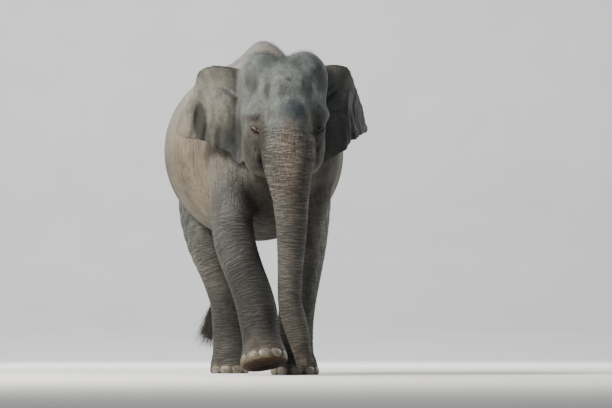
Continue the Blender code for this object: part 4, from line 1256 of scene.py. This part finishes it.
@dataclass
class Graph:
    """A short way to wire a tree's nodes. Values pass as sockets or plain numbers."""

    tree: bpy.types.NodeTree

    def feed(self, node: bpy.types.Node, inputs: dict) -> None:
        """Links or sets the node's inputs, which go by name or number."""
        for name, value in inputs.items():
            if isinstance(value, Socket):
                self.tree.links.new(value, node.inputs[name])
            else:
                node.inputs[name].default_value = value

    def node(self, kind: str, inputs: dict | None = None, **settings: object) -> bpy.types.Node:
        """A node of this kind with its settings made and its inputs linked or set."""
        made = self.tree.nodes.new(kind)
        for name, value in settings.items():
            setattr(made, name, value)
        self.feed(made, inputs or {})
        return made

    def math(self, operation: str, *values: object) -> Socket:
        """One operation on numbers."""
        return self.node("ShaderNodeMath", dict(enumerate(values)), operation=operation).outputs[0]

    def times(self, first: object, *others: object) -> Socket:
        """The product of all the numbers."""
        for other in others:
            first = self.math("MULTIPLY", first, other)
        return first

    def plus(self, first: object, *others: object) -> Socket:
        """The sum of all the numbers."""
        for other in others:
            first = self.math("ADD", first, other)
        return first

    def vector(self, operation: str, *values: object) -> Socket:
        """One operation on vectors."""
        return self.node("ShaderNodeVectorMath", dict(enumerate(values)), operation=operation).outputs[0]

    def scaled(self, vector: object, factor: object) -> Socket:
        """The vector made longer or shorter as a whole."""
        return self.node("ShaderNodeVectorMath", {0: vector, "Scale": factor}, operation="SCALE").outputs[0]

    def stretched(self, vector: object, scale: tuple) -> Socket:
        """The vector scaled along each axis."""
        return self.vector("MULTIPLY", vector, scale)

    def combined(self, **axes: object) -> Socket:
        """A vector made of its X, Y and Z."""
        return self.node("ShaderNodeCombineXYZ", axes).outputs[0]

    def value(self, name: str) -> Socket:
        """The numbers stored on the mesh under this name."""
        return self.node("ShaderNodeAttribute", attribute_name=name).outputs["Fac"]

    def spot(self) -> Socket:
        """The place on the object."""
        return self.node("ShaderNodeTexCoord").outputs["Object"]

    def noise(self, vector: object, scale: float, detail: float = 2.0, rough: float = 0.5) -> Socket:
        """Soft noise from about 0 to 1."""
        inputs = {"Vector": vector, "Scale": scale, "Detail": detail, "Roughness": rough}
        return self.node("ShaderNodeTexNoise", inputs).outputs["Fac"]

    def cracks(self, vector: object, scale: float, width: float) -> Socket:
        """1 in the cracks between cells, falling to 0 this far inside them."""
        made = self.node("ShaderNodeTexVoronoi", {"Vector": vector, "Scale": scale},
                         feature="DISTANCE_TO_EDGE", voronoi_dimensions="3D")
        return self.ramp(made.outputs["Distance"], width, 0.0)

    def ramp(self, value: object, low: float, high: float, start: float = 0.0, end: float = 1.0) -> object:
        """A smooth step that is start at low and end at high."""
        inputs = {"Value": value, "From Min": low, "From Max": high, "To Min": start, "To Max": end}
        return self.node("ShaderNodeMapRange", inputs, interpolation_type="SMOOTHSTEP").outputs["Result"]

    def mix(self, factor: object, first: object, second: object) -> Socket:
        """Two colours mixed."""
        return self.node("ShaderNodeMix", {0: factor, 6: first, 7: second}, data_type="RGBA").outputs[2]

    def bump(self, height: object) -> Socket:
        """The normal bent by a height in metres."""
        inputs = {"Height": height, "Distance": 1.0, "Strength": 1.0}
        return self.node("ShaderNodeBump", inputs).outputs["Normal"]


def started(name: str) -> tuple[Material, Graph, bpy.types.Node]:
    """A new material, its graph and its surface shader."""
    made = bpy.data.materials.new(name)
    made.use_nodes = True
    return made, Graph(made.node_tree), made.node_tree.nodes["Principled BSDF"]


@dataclass(frozen=True)
class SkinFinish:
    """Dry, finely cracked hide: wrinkles that follow each part, lighter ridges and darker cracks."""

    crack_depth: float = 0.0028
    net_depth: float = 0.001
    fine_depth: float = 0.0012
    limb_depth: float = 0.0042
    trunk_depth: float = 0.0046
    warp: float = 0.05
    roughness: tuple = (0.64, 0.86)

    @staticmethod
    def ring_place(g: Graph, place: object, bent: object, along: object) -> tuple:
        """Places whose cells lie as rings, and as short upright creases, round a limb or trunk."""
        apart = g.node("ShaderNodeSeparateXYZ", {"Vector": bent}).outputs
        wander = g.plus(g.times(g.noise(place, 5.0), 0.05), g.times(g.noise(place, 17.0), 0.014))
        spacings = ((5.0, 5.0, 56.0, g.plus(along, wander)), (70.0, 12.0, 16.0, along))
        return tuple(g.combined(X=g.times(apart["X"], x), Y=g.times(apart["Y"], y), Z=g.times(level, z))
                     for x, y, z, level in spacings)

    @staticmethod
    def mottling(g: Graph, place: object, head: object, ear: object) -> object:
        """Uneven tone: broad and fine everywhere, and blotched on head and ears."""
        mottle = g.ramp(g.noise(place, 4.0, 4.0, 0.6), 0.34, 0.66, 0.82, 1.2)
        speckle = g.ramp(g.noise(place, 52.0, 4.0, 0.65), 0.32, 0.7, 0.84, 1.2)
        blotch = g.ramp(g.noise(g.stretched(place, (15.0, 15.0, 9.0)), 1.0, 4.0, 0.6), 0.34, 0.64, 0.74, 1.22)
        blotched = g.math("MAXIMUM", head, g.times(ear, 0.8))
        return g.times(mottle, g.plus(1.0, g.times(blotched, g.math("SUBTRACT", blotch, 1.0))), speckle)

    def relief(self, g: Graph, place: object, parts: dict) -> tuple:
        """Height of the fine relief, and how much darker its cracks are."""
        warp = g.node("ShaderNodeTexNoise", {"Vector": place, "Scale": 6.0, "Detail": 2.0}).outputs["Color"]
        bent = g.vector("ADD", place, g.scaled(g.vector("SUBTRACT", warp, (0.5, 0.5, 0.5)), self.warp))
        trunk, limb, along = parts["trunk"], parts["limb"], parts["along"]
        limbs = g.math("MAXIMUM", trunk, limb)
        free = g.math("SUBTRACT", 1.0, limbs)
        smooth = g.math("MAXIMUM", g.times(parts["head"], 0.55), g.times(parts["ear"], 0.75))
        rough = g.times(free, g.math("SUBTRACT", 1.0, smooth))
        normal = g.node("ShaderNodeNewGeometry").outputs["Normal"]
        rise = g.node("ShaderNodeSeparateXYZ", {"Vector": normal}).outputs["Z"]
        flank = g.ramp(g.math("ABSOLUTE", rise), 0.75, 0.35)
        patchy = g.ramp(g.noise(place, 3.1, 2.0), 0.36, 0.6, 0.12, 1.0)
        ring_place, upright_place = self.ring_place(g, place, bent, along)
        rings = g.cracks(ring_place, 1.0, 0.22)
        ring_darkening = g.ramp(g.noise(place, 4.3, 2.0), 0.36, 0.62, 0.14, 0.44)
        fine = g.cracks(bent, 95.0, 0.2)
        patterns = (                # cracks, where they lie, their depth and how much darker they are
            (rings, trunk, self.trunk_depth, 0.42),
            (rings, limb, self.limb_depth, ring_darkening),
            (g.cracks(g.stretched(bent, (27.0, 27.0, 3.6)), 1.0, 0.1), g.times(flank, patchy, rough),
             self.crack_depth, 0.27),
            (g.cracks(g.stretched(bent, (78.0, 78.0, 52.0)), 1.0, 0.17), rough, self.net_depth, 0.28),
            (g.cracks(upright_place, 1.0, 0.2), g.times(trunk, g.ramp(along, 0.95, 0.55)), 0.0016, 0.3),
            (fine, free, self.fine_depth, 0.1),
            (fine, limbs, 0.0007, 0.1),
            (g.cracks(place, 32.0, 0.18), parts["sole"], 0.0022, 0.3),
        )
        folds = g.noise(g.stretched(bent, (9.0, 16.0, 4.0)), 1.0, 3.0)
        height = g.plus(g.times(folds, free, 0.004), g.times(g.noise(place, 240.0, 2.0), 0.0004))
        crack_darkening = 0.0
        for cracks, share, depth, dark in patterns:
            height = g.plus(height, g.times(cracks, share, -depth))
            crack_darkening = g.plus(crack_darkening, g.times(cracks, share, dark))
        return height, crack_darkening

    def material(self) -> Material:
        """The finish."""
        made, g, shader = started("elephant_hide")
        place = g.spot()
        parts = {name: g.value(f"skin_{name}") for name in ("trunk", "limb", "ear", "head", "sole", "along")}
        height, crack_darkening = self.relief(g, place, parts)
        shade = g.times(self.mottling(g, place, parts["head"], parts["ear"]), g.math("SUBTRACT", 1.0, crack_darkening))
        painted = g.node("ShaderNodeAttribute", attribute_name="skin_colour").outputs["Color"]
        tone = g.scaled(painted, shade)
        earth = g.ramp(g.noise(place, 2.2, 3.0, 0.55), 0.48, 0.72, 0.0, 0.3)
        g.feed(shader, {
            "Base Color": g.mix(earth, tone, g.stretched(tone, (1.18, 0.98, 0.76))),
            "Roughness": g.ramp(g.noise(place, 14.0, 3.0), 0.3, 0.7, *self.roughness),
            "Normal": g.bump(height), "Specular IOR Level": 0.35})
        return made


@dataclass(frozen=True)
class NailFinish:
    """Worn horn: grown in bands, with ground-in earth."""

    horn: tuple = (0.158, 0.14, 0.114, 1.0)
    band: tuple = (0.155, 0.126, 0.094, 1.0)
    earth: tuple = (0.082, 0.064, 0.046, 1.0)

    def material(self) -> Material:
        """The finish."""
        made, g, shader = started("elephant_nail")
        place = g.spot()
        bands = g.noise(g.stretched(place, (25.0, 25.0, 190.0)), 1.0, 3.0)
        stain = g.ramp(g.noise(place, 34.0, 4.0, 0.6), 0.42, 0.66)
        tone = g.mix(stain, self.horn, self.earth)
        g.feed(shader, {
            "Base Color": g.mix(g.ramp(bands, 0.35, 0.65, 0.0, 0.35), tone, self.band),
            "Roughness": g.ramp(stain, 0.0, 1.0, 0.42, 0.7),
            "Normal": g.bump(g.times(bands, 0.0014))})
        return made


@dataclass(frozen=True)
class EyeFinish:
    """A wet brown eye: dark pupil, amber-brown iris with fine spokes and a brownish white, both painted
    darker as the shade over the eye.
    """

    pupil: float = 0.27
    iris: float = 0.66

    def material(self) -> Material:
        """The finish; it reads the distance from the gaze line painted on the ball."""
        made, g, shader = started("elephant_eye")
        away, turn = g.value("eye_ring"), g.value("eye_turn")
        round_gaze = g.combined(X=g.times(g.math("SINE", turn), 9.0), Y=g.times(g.math("COSINE", turn), 9.0),
                                Z=g.times(away, 1.5))
        # iris and white are partly their own brown and partly painted shade of the eye under its brow
        tone = g.mix(g.noise(round_gaze, 2.2, 3.0), (0.028, 0.012, 0.005, 1.0), (0.085, 0.04, 0.015, 1.0))
        tone = g.mix(g.ramp(away, self.iris - 0.12, self.iris), tone, (0.018, 0.01, 0.007, 1.0))
        tone = g.mix(g.ramp(away, self.pupil, self.pupil + 0.05), (0.004, 0.004, 0.004, 1.0), tone)
        tone = g.mix(g.ramp(away, self.iris, self.iris + 0.07), tone, (0.02, 0.013, 0.01, 1.0))
        g.feed(shader, {"Base Color": tone, "Roughness": 0.1, "Specular IOR Level": 0.35,
                        "Coat Weight": 0.35, "Coat Roughness": 0.03})
        return made


@dataclass(frozen=True)
class HairFinish:
    """Coarse dark bristle, browner in places."""

    root: tuple = (0.012, 0.01, 0.009, 1.0)
    end: tuple = (0.04, 0.03, 0.022, 1.0)

    def material(self) -> Material:
        """The finish."""
        made, g, shader = started("elephant_hair")
        tone = g.mix(g.noise(g.spot(), 30.0, 2.0), self.root, self.end)
        g.feed(shader, {"Base Color": tone, "Roughness": 0.5})
        return made


# ---------------------------------------------------------------- eyes, nails and hair

@dataclass
class Eyeball:
    """One eyeball with a slight bulge of clear cornea."""

    side: Side
    socket: EyeSocket
    rings: int = 24
    sectors: int = 40

    def build(self, finish: Material) -> Piece:
        """The ball, painted with how far each place lies from its gaze."""
        axes = self.socket.axes()
        gaze = unit(axes[2] + 0.1 * axes[0])
        across = unit(axes[1] - (axes[1] @ gaze) * gaze)
        frame = np.array((np.cross(across, gaze), across, gaze))
        mesh = round_mesh(f"eyeball_{self.side.label}", self.sectors, self.rings)
        ball = mesh_points(mesh)
        away = np.arccos(np.clip(ball[:, 2], -1.0, 1.0))
        bulge = 1.0 + 0.045 * smooth_step(0.75, 0.45, away)
        points = (ball * (bulge * self.socket.radius * 0.985)[:, None]) @ frame + self.socket.centre + SHIFT
        set_mesh_points(mesh, points)
        store(mesh, "eye_ring", away)
        store(mesh, "eye_turn", np.arctan2(ball[:, 1], ball[:, 0]))
        mesh.materials.append(finish)
        mesh.shade_smooth()
        return new_object(mesh.name, mesh)


@dataclass
class Nails:
    """The nails of one foot: shields of horn, arched across and pressed into the skin."""

    leg: str
    anatomy: Anatomy
    steps: int = 14
    sunk: float = 0.004
    squareness: float = 0.6
    half_widths: tuple = (("fore", 0.0535), ("hind", 0.048))
    half_thickness: float = 0.016
    half_height: float = 0.0345

    def turn(self, degrees: float) -> Array:
        """Rows: across the nail, outward and up, for the nail at this angle round the foot."""
        cos, sin = math.cos(math.radians(degrees)), math.sin(math.radians(degrees))
        frame = np.array(((cos, sin, 0.0), (sin, -cos, 0.0), (0.0, 0.0, 1.0)))
        if self.leg != "fore_right":
            return frame
        lean = Vector((0, 0, -1)).rotation_difference(Vector(self.anatomy.raised_normal).normalized())
        return frame @ np.array(lean.to_matrix()).T

    def shaped(self, ball: Array, number: int) -> Array:
        """A ball's points as a nail: across, outward and up."""
        x, y, z = (np.sign(ball) * np.abs(ball) ** self.squareness).T
        wave = 0.02 * np.sin(z * 16.0 + number)
        across = x * dict(self.half_widths)[self.leg[:4]]
        up = z * self.half_height
        outward = (y * (1.0 - 0.16 * (x * x)) + wave * (y > 0)) * self.half_thickness - 0.006 * x * x
        outward -= 0.011 * smooth_step(0.004, 0.034, up) + 0.006 * smooth_step(0.03, 0.056, np.abs(across))
        return np.stack([across * (1.0 - 0.1 * smooth_step(-0.2, 1.0, z)), outward - self.sunk, up], axis=1)

    def build(self, finish: Material) -> list[Piece]:
        """Each nail as an object that stands for its own node."""
        made = []
        for number, degrees in enumerate(NAIL_ANGLES[self.leg[:4]], 1):
            node = f"nail_{self.leg}_{number}"
            low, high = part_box(node)
            mesh = round_mesh(f"horn_{self.leg}_{number}", 2 * self.steps, self.steps)
            local = self.shaped(mesh_points(mesh), number)
            set_mesh_points(mesh, local @ self.turn(degrees) + np.array((low + high) / 2))
            tidy = bmesh.new()
            tidy.from_mesh(mesh)
            bmesh.ops.recalc_face_normals(tidy, faces=tidy.faces)
            tidy.to_mesh(mesh)
            tidy.free()
            mesh.materials.append(finish)
            mesh.shade_smooth()
            obj = new_object(mesh.name, mesh)
            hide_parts(node)
            made.append(obj)
        return made


@dataclass(frozen=True)
class Hair:
    """One kind of hair: roots to a square metre, length, thickness, bend, sway and seed."""

    name: str
    density: float
    length: float
    thickness: float
    bend: float
    sway: float
    seed: int
    segments: int = 3
    sides: int = 3

    @property
    def corners(self) -> int:
        """How many vertices one hair has."""
        return (self.segments + 1) * self.sides


@dataclass
class HairTree:
    """The node group that grows tapered hairs on a mesh with hair_share, hair_reach, hair_lay and root_uv."""

    group: bpy.types.NodeTree = field(init=False)

    def __post_init__(self) -> None:
        """Wires the group."""
        self.group = bpy.data.node_groups.new("hair_tree", "GeometryNodeTree")
        given = self.given()
        g = Graph(self.group)
        density = g.times(self.named(g, "hair_share", "FLOAT"), given["Density"])
        roots = g.node("GeometryNodeDistributePointsOnFaces", {
            "Mesh": given["Geometry"], "Density": density, "Seed": given["Seed"]}).outputs["Points"]
        size = g.times(self.named(g, "hair_reach", "FLOAT"), self.uneven(g, 0.55, 1.0), given["Length"])
        placed = g.node("GeometryNodeInstanceOnPoints", {
            "Points": roots, "Instance": self.strand(g), "Rotation": self.facing(g),
            "Scale": size}).outputs[0]
        real = g.node("GeometryNodeRealizeInstances", {"Geometry": placed}).outputs[0]
        dyed = g.node("GeometryNodeSetMaterial", {"Geometry": real, "Material": given["Material"]}).outputs[0]
        g.node("NodeGroupOutput", {"Geometry": dyed})

    def given(self) -> object:
        sockets = self.group.interface
        if not sockets.items_tree:
            named = {"Geometry": ("Geometry",), "Float": ("Density", "Length", "Thickness", "Bend", "Sway"),
                     "Int": ("Seed", "Segments", "Sides"), "Material": ("Material",)}
            for kind, names in named.items():
                for name in names:
                    sockets.new_socket(name, in_out="INPUT", socket_type=f"NodeSocket{kind}")
            sockets.new_socket("Geometry", in_out="OUTPUT", socket_type="NodeSocketGeometry")
        return self.group.nodes.new("NodeGroupInput").outputs

    @staticmethod
    def named(g: Graph, name: str, kind: str) -> Socket:
        """The values stored on the mesh under this name."""
        return g.node("GeometryNodeInputNamedAttribute", {"Name": name}, data_type=kind).outputs["Attribute"]

    def uneven(self, g: Graph, low: float, high: float) -> Socket:
        """A number between low and high for each hair, drawn with the group's seed."""
        inputs = {2: low, 3: high, "Seed": self.given()["Seed"]}
        return g.node("FunctionNodeRandomValue", inputs, data_type="FLOAT").outputs[1]

    def strand(self, g: Graph) -> Socket:
        """One hair, a bent and tapered tube one long."""
        given = self.given()
        line = g.node("GeometryNodeCurveQuadraticBezier", {
            "Resolution": given["Segments"], "Start": (0.0, 0.0, 0.0), "Middle": g.combined(Z=0.5),
            "End": g.combined(X=given["Bend"], Z=1.0)}).outputs[0]
        along = g.node("GeometryNodeSplineParameter").outputs["Factor"]
        narrowing = {"Value": along, "To Min": 1.0, "To Max": 0.15}
        taper = g.node("ShaderNodeMapRange", narrowing).outputs["Result"]
        line = g.node("GeometryNodeSetCurveRadius", {"Curve": line, "Radius": taper}).outputs[0]
        half = g.times(g.math("DIVIDE", given["Thickness"], given["Length"]), 0.5)
        profile = g.node("GeometryNodeCurvePrimitiveCircle", {
            "Resolution": given["Sides"], "Radius": half}).outputs["Curve"]
        strand = g.node("GeometryNodeCurveToMesh", {"Curve": line, "Profile Curve": profile})
        if "Scale" in strand.inputs:
            g.feed(strand, {"Scale": taper})
        return strand.outputs["Mesh"]

    def facing(self, g: Graph) -> Socket:
        """The turn of each hair: along its lay, swayed, and spun about itself."""
        given = self.given()
        inputs = {"Min": (-1.0, -1.0, -1.0), "Max": (1.0, 1.0, 1.0), "Seed": given["Seed"]}
        ways = g.node("FunctionNodeRandomValue", inputs, data_type="FLOAT_VECTOR").outputs[0]
        lay = g.vector("ADD", self.named(g, "hair_lay", "FLOAT_VECTOR"), g.scaled(ways, given["Sway"]))
        aligned = g.node("FunctionNodeAlignRotationToVector", {"Vector": lay}, axis="Z").outputs[0]
        twist = g.combined(Z=self.uneven(g, 0.0, 2.0 * math.pi))
        return g.node("FunctionNodeRotateRotation", {"Rotation": aligned, "Rotate By": twist},
                      rotation_space="LOCAL").outputs[0]

    def grown(self, source: Mesh, hair: Hair, finish: Material) -> Piece:
        """Hairs of one kind on a mesh, as an object with its bake map.

        Args:
            source: mesh with hair_share, hair_reach, hair_lay and root_uv.
            hair: sizes of the hairs.
            finish: their material.

        Returns:
            The hairs, realised, without the mesh that they grew on.
        """
        ground = new_object(f"{hair.name}_ground", source)
        grow = ground.modifiers.new("grow", "NODES")
        grow.node_group = self.group
        for item in self.group.interface.items_tree:
            if item.in_out == "INPUT" and item.name != "Geometry":
                is_finish = item.name == "Material"
                grow[item.identifier] = finish if is_finish else getattr(hair, item.name.lower())
        made = applied(ground, hair.name)
        bpy.data.objects.remove(ground)
        self.map_for_baking(made, hair)
        made.shade_smooth()
        log.info("%s: %d hairs, %d triangles", hair.name, len(made.vertices) // hair.corners,
                 sum(len(p.vertices) - 2 for p in made.polygons))
        return new_object(hair.name, made)

    @staticmethod
    def map_for_baking(mesh: Mesh, hair: Hair, patch: float = 0.003) -> None:
        """Gives each hair a small patch of the map at its root's place on the skin's unwrap."""
        root = column(mesh.attributes["root_uv"].data, "vector", 3)[:, :2]
        number = np.arange(len(mesh.vertices)) % hair.corners
        across = (number % hair.sides + 0.5) / hair.sides
        inside = np.stack([number // hair.sides / hair.segments, across], axis=1)
        spots = root + patch * (inside - 0.5)
        corners = column(mesh.loops, "vertex_index", kind=np.int32)
        layer = mesh.uv_layers.new(name="OFBake")
        layer.data.foreach_set("uv", spots[corners].astype(np.float32).ravel())


@dataclass(frozen=True)
class HairPatch:
    """A part of the body with hair: where, how dense and how long beside the kind's own length."""

    centre: tuple
    radii: tuple
    share: float
    reach: float
    on_head: bool = False


@dataclass
class Coat:
    """The sparse bristles of head, back and chin, the tail's tuft and the lashes."""

    skin: Skin
    hide: Piece
    patches: tuple = (
        HairPatch((0.0, 0.1, 2.35), (0.55, 1.6, 0.6), 0.035, 0.9),
        HairPatch((0.0, 0.1, 2.55), (0.14, 1.3, 0.35), 0.5, 0.9),
        HairPatch((0.0, -1.15, 2.1), (0.5, 0.6, 0.6), 0.1, 0.7, True),
        HairPatch((0.0, -1.12, 2.42), (0.34, 0.34, 0.2), 1.0, 1.0, True),
        HairPatch((0.0, -1.18, 1.44), (0.16, 0.22, 0.14), 0.55, 1.0, True),
        HairPatch((0.0, -1.4, 1.1), (0.25, 0.25, 0.95), 0.06, 0.6, True),
        HairPatch((0.0, -0.9, 2.12), (0.75, 0.3, 0.3), 0.09, 0.6, True),
    )
    bristles: Hair = Hair("head_and_back_bristles", 8000.0, 0.027, 0.0013, 0.25, 0.35, 5)
    tuft: Hair = Hair("tail_tuft_hair", 52000.0, 0.235, 0.0036, 0.14, 0.36, 8, 6)
    lash: Hair = Hair("lashes", 260000.0, 0.03, 0.001, 0.35, 0.25, 11, 4)

    def unwrapped(self) -> Array:
        """Unwraps the skin and gives each vertex its place on the map."""
        bpy.context.view_layer.objects.active = self.hide
        self.hide.select_set(True)
        bpy.ops.object.mode_set(mode="EDIT")
        bpy.ops.mesh.select_all(action="SELECT")
        bpy.ops.uv.smart_project(angle_limit=math.radians(70.0), island_margin=0.002)
        bpy.ops.object.mode_set(mode="OBJECT")
        self.hide.select_set(False)
        mesh = self.hide.data
        places = np.zeros((len(mesh.vertices), 3))
        corners = column(mesh.loops, "vertex_index", kind=np.int32)
        places[corners, :2] = column(mesh.uv_layers.active.data, "uv", 2)
        return places

    @staticmethod
    def prepare(mesh: Mesh, share: Array, reach: Array, lay: Array,
                root: Array) -> Mesh:
        """Writes what the hair tree reads."""
        written = {"hair_share": share, "hair_reach": reach, "hair_lay": lay, "root_uv": root}
        for name, values in written.items():
            store(mesh, name, values)
        return mesh

    def ground(self, keep: Array, name: str) -> tuple[Mesh, Array]:
        """The triangles of the skin whose corners are all kept, and the numbers of their vertices."""
        mesh = self.hide.data
        faces = column(mesh.loops, "vertex_index", kind=np.int32).reshape(-1, 3)
        faces = faces[keep[faces].all(axis=1)]
        used, renumbered = np.unique(faces, return_inverse=True)
        return mesh_from_arrays(name, mesh_points(mesh)[used], renumbered.reshape(-1, 3)), used

    def bristle_ground(self, points: Array, normals: Array, root: Array) -> Mesh:
        """The skin of head, back and chin with its density, length and lie of hair."""
        own = turn_head(points)
        share, reach = np.zeros(len(points)), np.full(len(points), 0.6)
        for patch in self.patches:
            place = own if patch.on_head else points
            away = np.linalg.norm((place - np.array(patch.centre)) / np.array(patch.radii), axis=1)
            here = patch.share * smooth_step(1.0, 0.55, away)
            reach = np.where(here > share, patch.reach, reach)
            share = np.maximum(share, here)
        for socket in self.skin.sockets:
            share *= np.linalg.norm(points - socket.centre, axis=1) > 0.055
        mesh, used = self.ground(share > 0.004, "bristle_ground")
        lay = normals[used] + np.array((0.0, 0.25, 0.1))
        lay[own[used, 1] < -1.15] += np.array((0.0, -0.25, -0.45))
        return self.prepare(mesh, share[used], reach[used], lay, root[used])

    def tuft_ground(self, points: Array, normals: Array, root: Array) -> Mesh:
        """The last of the tail, with hair that falls and spreads to both sides."""
        x, y, z = points.T
        near = (np.abs(x + 0.35) < 0.1) & (np.abs(y - 1.285) < 0.1) & (z < 0.62)
        mesh, used = self.ground(near, "tuft_ground")
        fall = np.array((-0.05, -0.03, -1.0))
        lay = fall + 0.24 * normals[used] * np.array((1.0, 0.7, 0.3))
        return self.prepare(mesh, smooth_step(0.6, 0.46, z[used]), np.ones(len(used)), lay, root[used])

    def lash_ground(self, socket: EyeSocket, points: Array, root: Array) -> Mesh:
        """A narrow ribbon along the upper lid's rim."""
        axes = socket.axes()
        u = np.linspace(-0.85, 0.95, 19) * socket.half_length
        v = socket.upper_rim(u) + 0.0012
        over = socket.radius + socket.lid
        w = np.sqrt(np.maximum(over ** 2 - u ** 2 - v ** 2, 1e-6)) - 0.001
        first = socket.centre + u[:, None] * axes[0] + v[:, None] * axes[1] + w[:, None] * axes[2]
        rows = np.vstack([first, first + 0.004 * axes[1] - 0.001 * axes[2]])
        n = len(u)
        quads = np.array([(i, i + 1, n + i + 1, n + i) for i in range(n - 1)])
        mesh = mesh_from_arrays(f"lash_ground_{socket.side.label}", rows, quads)
        nearest = np.array([np.argmin(((points - row) ** 2).sum(axis=1)) for row in rows])
        lay = np.tile(axes[2] + 0.15 * axes[1] - np.array((0.0, 0.0, 0.75)), (len(rows), 1))
        lay += np.tile(u / socket.half_length, 2)[:, None] * 0.35 * axes[0]
        return self.prepare(mesh, np.ones(len(rows)), np.ones(len(rows)), lay, root[nearest])

    def build(self, finish: Material) -> list[Piece]:
        """All hair, each kind as one object."""
        root = self.unwrapped()
        points = mesh_points(self.hide.data) - SHIFT
        normals = mesh_normals(self.hide.data)
        tree = HairTree()
        grounds = [(self.bristle_ground(points, normals, root), self.bristles),
                   (self.tuft_ground(points, normals, root), self.tuft)]
        for socket in self.skin.sockets:
            mesh = self.lash_ground(socket, points, root)
            mesh.transform(Matrix.Translation(SHIFT))
            seed = self.lash.seed + int(socket.side.value)
            grounds.append((mesh, replace(self.lash, name=f"lashes_{socket.side.label}", seed=seed)))
        return [tree.grown(mesh, hair, finish) for mesh, hair in grounds]

@dataclass(frozen=True)
class Lamp:
    """One square soft light: its place, what it is aimed at, its size, power and colour."""

    name: str
    place: tuple
    target: tuple
    size: float
    power: float
    colour: tuple

    def hang(self) -> None:
        """Puts the light in the scene."""
        data = bpy.data.lights.new(self.name, "AREA")
        data.shape = "SQUARE"
        data.size = self.size
        data.energy = self.power
        data.color = self.colour
        obj = bpy.data.objects.new(self.name, data)
        bpy.context.scene.collection.objects.link(obj)
        obj.location = self.place
        obj.rotation_euler = (Vector(self.target) - Vector(self.place)).to_track_quat("-Z", "Y").to_euler()


@dataclass(frozen=True)
class Studio:
    """The plain floor, the soft lights and the camera.

    The camera's place is given by its distance and height, the metres that its view is wide at the
    elephant, and how far right of the elephant's middle and above the lens it aims.
    """

    azimuth: float = math.radians(-5.0)
    distance: float = 50.0
    eye_height: float = 0.4
    metres_across: float = 4.6206
    right_of_middle: float = 0.26727
    rise: float = 0.88335
    paper: tuple = (0.7, 0.695, 0.68)
    air: tuple = (0.8, 0.86, 0.9, 1.0)
    air_strength: float = 0.3
    half_width: float = 45.0
    gap: float = 0.0005             # between the soles and the floor
    profile: tuple = ((-45.0, 0.0), (18.0, 0.0), (22.0, 0.35), (25.0, 1.6), (26.5, 4.0), (27.0, 30.0))
    lamps: tuple = (
        Lamp("key", (-7.0, -4.5, 8.5), (0.0, -0.3, 1.3), 3.0, 2900.0, (1.0, 0.965, 0.9)),
        Lamp("fill", (8.0, -9.0, 4.0), (0.0, -0.3, 1.3), 8.0, 150.0, (0.9, 0.95, 1.0)),
        Lamp("rim", (-3.0, 8.0, 7.5), (0.0, -0.3, 1.3), 5.0, 900.0, (1.0, 0.98, 0.94)),
        Lamp("side", (9.0, 6.0, 5.5), (0.0, 0.2, 1.3), 5.0, 620.0, (0.97, 0.98, 1.0)),
        Lamp("backdrop", (0.0, 9.0, 10.0), (0.0, 26.0, 3.0), 9.0, 3400.0, (0.96, 0.98, 1.0)),
    )

    def floor(self) -> None:
        """A pale floor that turns up far behind into a pale wall."""
        sides = (-self.half_width, self.half_width)
        rows = np.array([(x, y, z - self.gap) for x in sides for y, z in self.profile])
        n = len(self.profile)
        quads = np.array([(i, n + i, n + i + 1, i + 1) for i in range(n - 1)])
        mesh = mesh_from_arrays("studio_floor", rows, quads)
        made, g, shader = started("studio_paper")
        shade = g.ramp(g.noise(g.spot(), 1.5, 2.0), 0.3, 0.7, 0.98, 1.02)
        g.feed(shader, {"Base Color": g.scaled(self.paper, shade), "Roughness": 0.9})
        mesh.materials.append(made)
        mesh.shade_smooth()
        obj = new_object("studio_floor", mesh)

    def camera(self) -> None:
        """The camera at a little under knee height, far off with a long lens."""
        cos, sin = math.cos(self.azimuth), math.sin(self.azimuth)
        back, right = Vector((sin, -cos, 0.0)), Vector((cos, sin, 0.0))
        data = bpy.data.cameras.new("camera")
        data.lens = 36.0 * self.distance / self.metres_across
        data.clip_end = 500.0
        obj = bpy.data.objects.new("camera", data)
        bpy.context.scene.collection.objects.link(obj)
        obj.location = Vector((SHIFT[0], SHIFT[1], self.eye_height)) + back * self.distance \
            + right * self.right_of_middle
        obj.rotation_euler = (math.pi / 2 + math.atan(self.rise / self.distance), 0.0, self.azimuth)
        bpy.context.scene.camera = obj

    def build(self) -> None:
        """Floor, lights, sky and camera."""
        self.floor()
        for lamp in self.lamps:
            lamp.hang()
        world = bpy.data.worlds.new("studio_air")
        world.use_nodes = True
        Graph(world.node_tree).feed(world.node_tree.nodes["Background"], {
            "Color": self.air, "Strength": self.air_strength})
        bpy.context.scene.world = world
        self.camera()


FLESH_NODES = tuple(f"{leg}_{part}" for leg in LEGS for part in ("upper_leg", "lower_leg")) + (
    "trunk_root", "trunk_middle", "trunk_lower", "trunk_tip", "jaw", "head", "neck", "torso",
    "ear_left", "ear_right", "tail")


def main() -> None:
    """Builds every piece in order."""
    logging.basicConfig(level=logging.INFO)
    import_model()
    Studio().build()
    anatomy = Anatomy()
    skin = Skin(anatomy)
    hide = skin.build()
    hide.data.materials.append(SkinFinish().material())
    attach(hide, "root")
    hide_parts(*FLESH_NODES)
    eye_finish = EyeFinish().material()
    for socket in skin.sockets:
        ball = Eyeball(socket.side, socket).build(eye_finish)
        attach(ball, "root")
        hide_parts(f"eye_{socket.side.label}")
        log.info("eye: %s", ball.name)
    for hair in Coat(skin, hide).build(HairFinish().material()):
        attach(hair, "root")
        if hair.name.startswith("tail_tuft"):
            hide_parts("tail_tuft")
    horn = NailFinish().material()
    for leg in LEGS:
        for nail in Nails(leg, anatomy).build(horn):
            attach(nail, "root")
        log.info("nails: %s", leg)


if __name__ == "__main__":
    main()
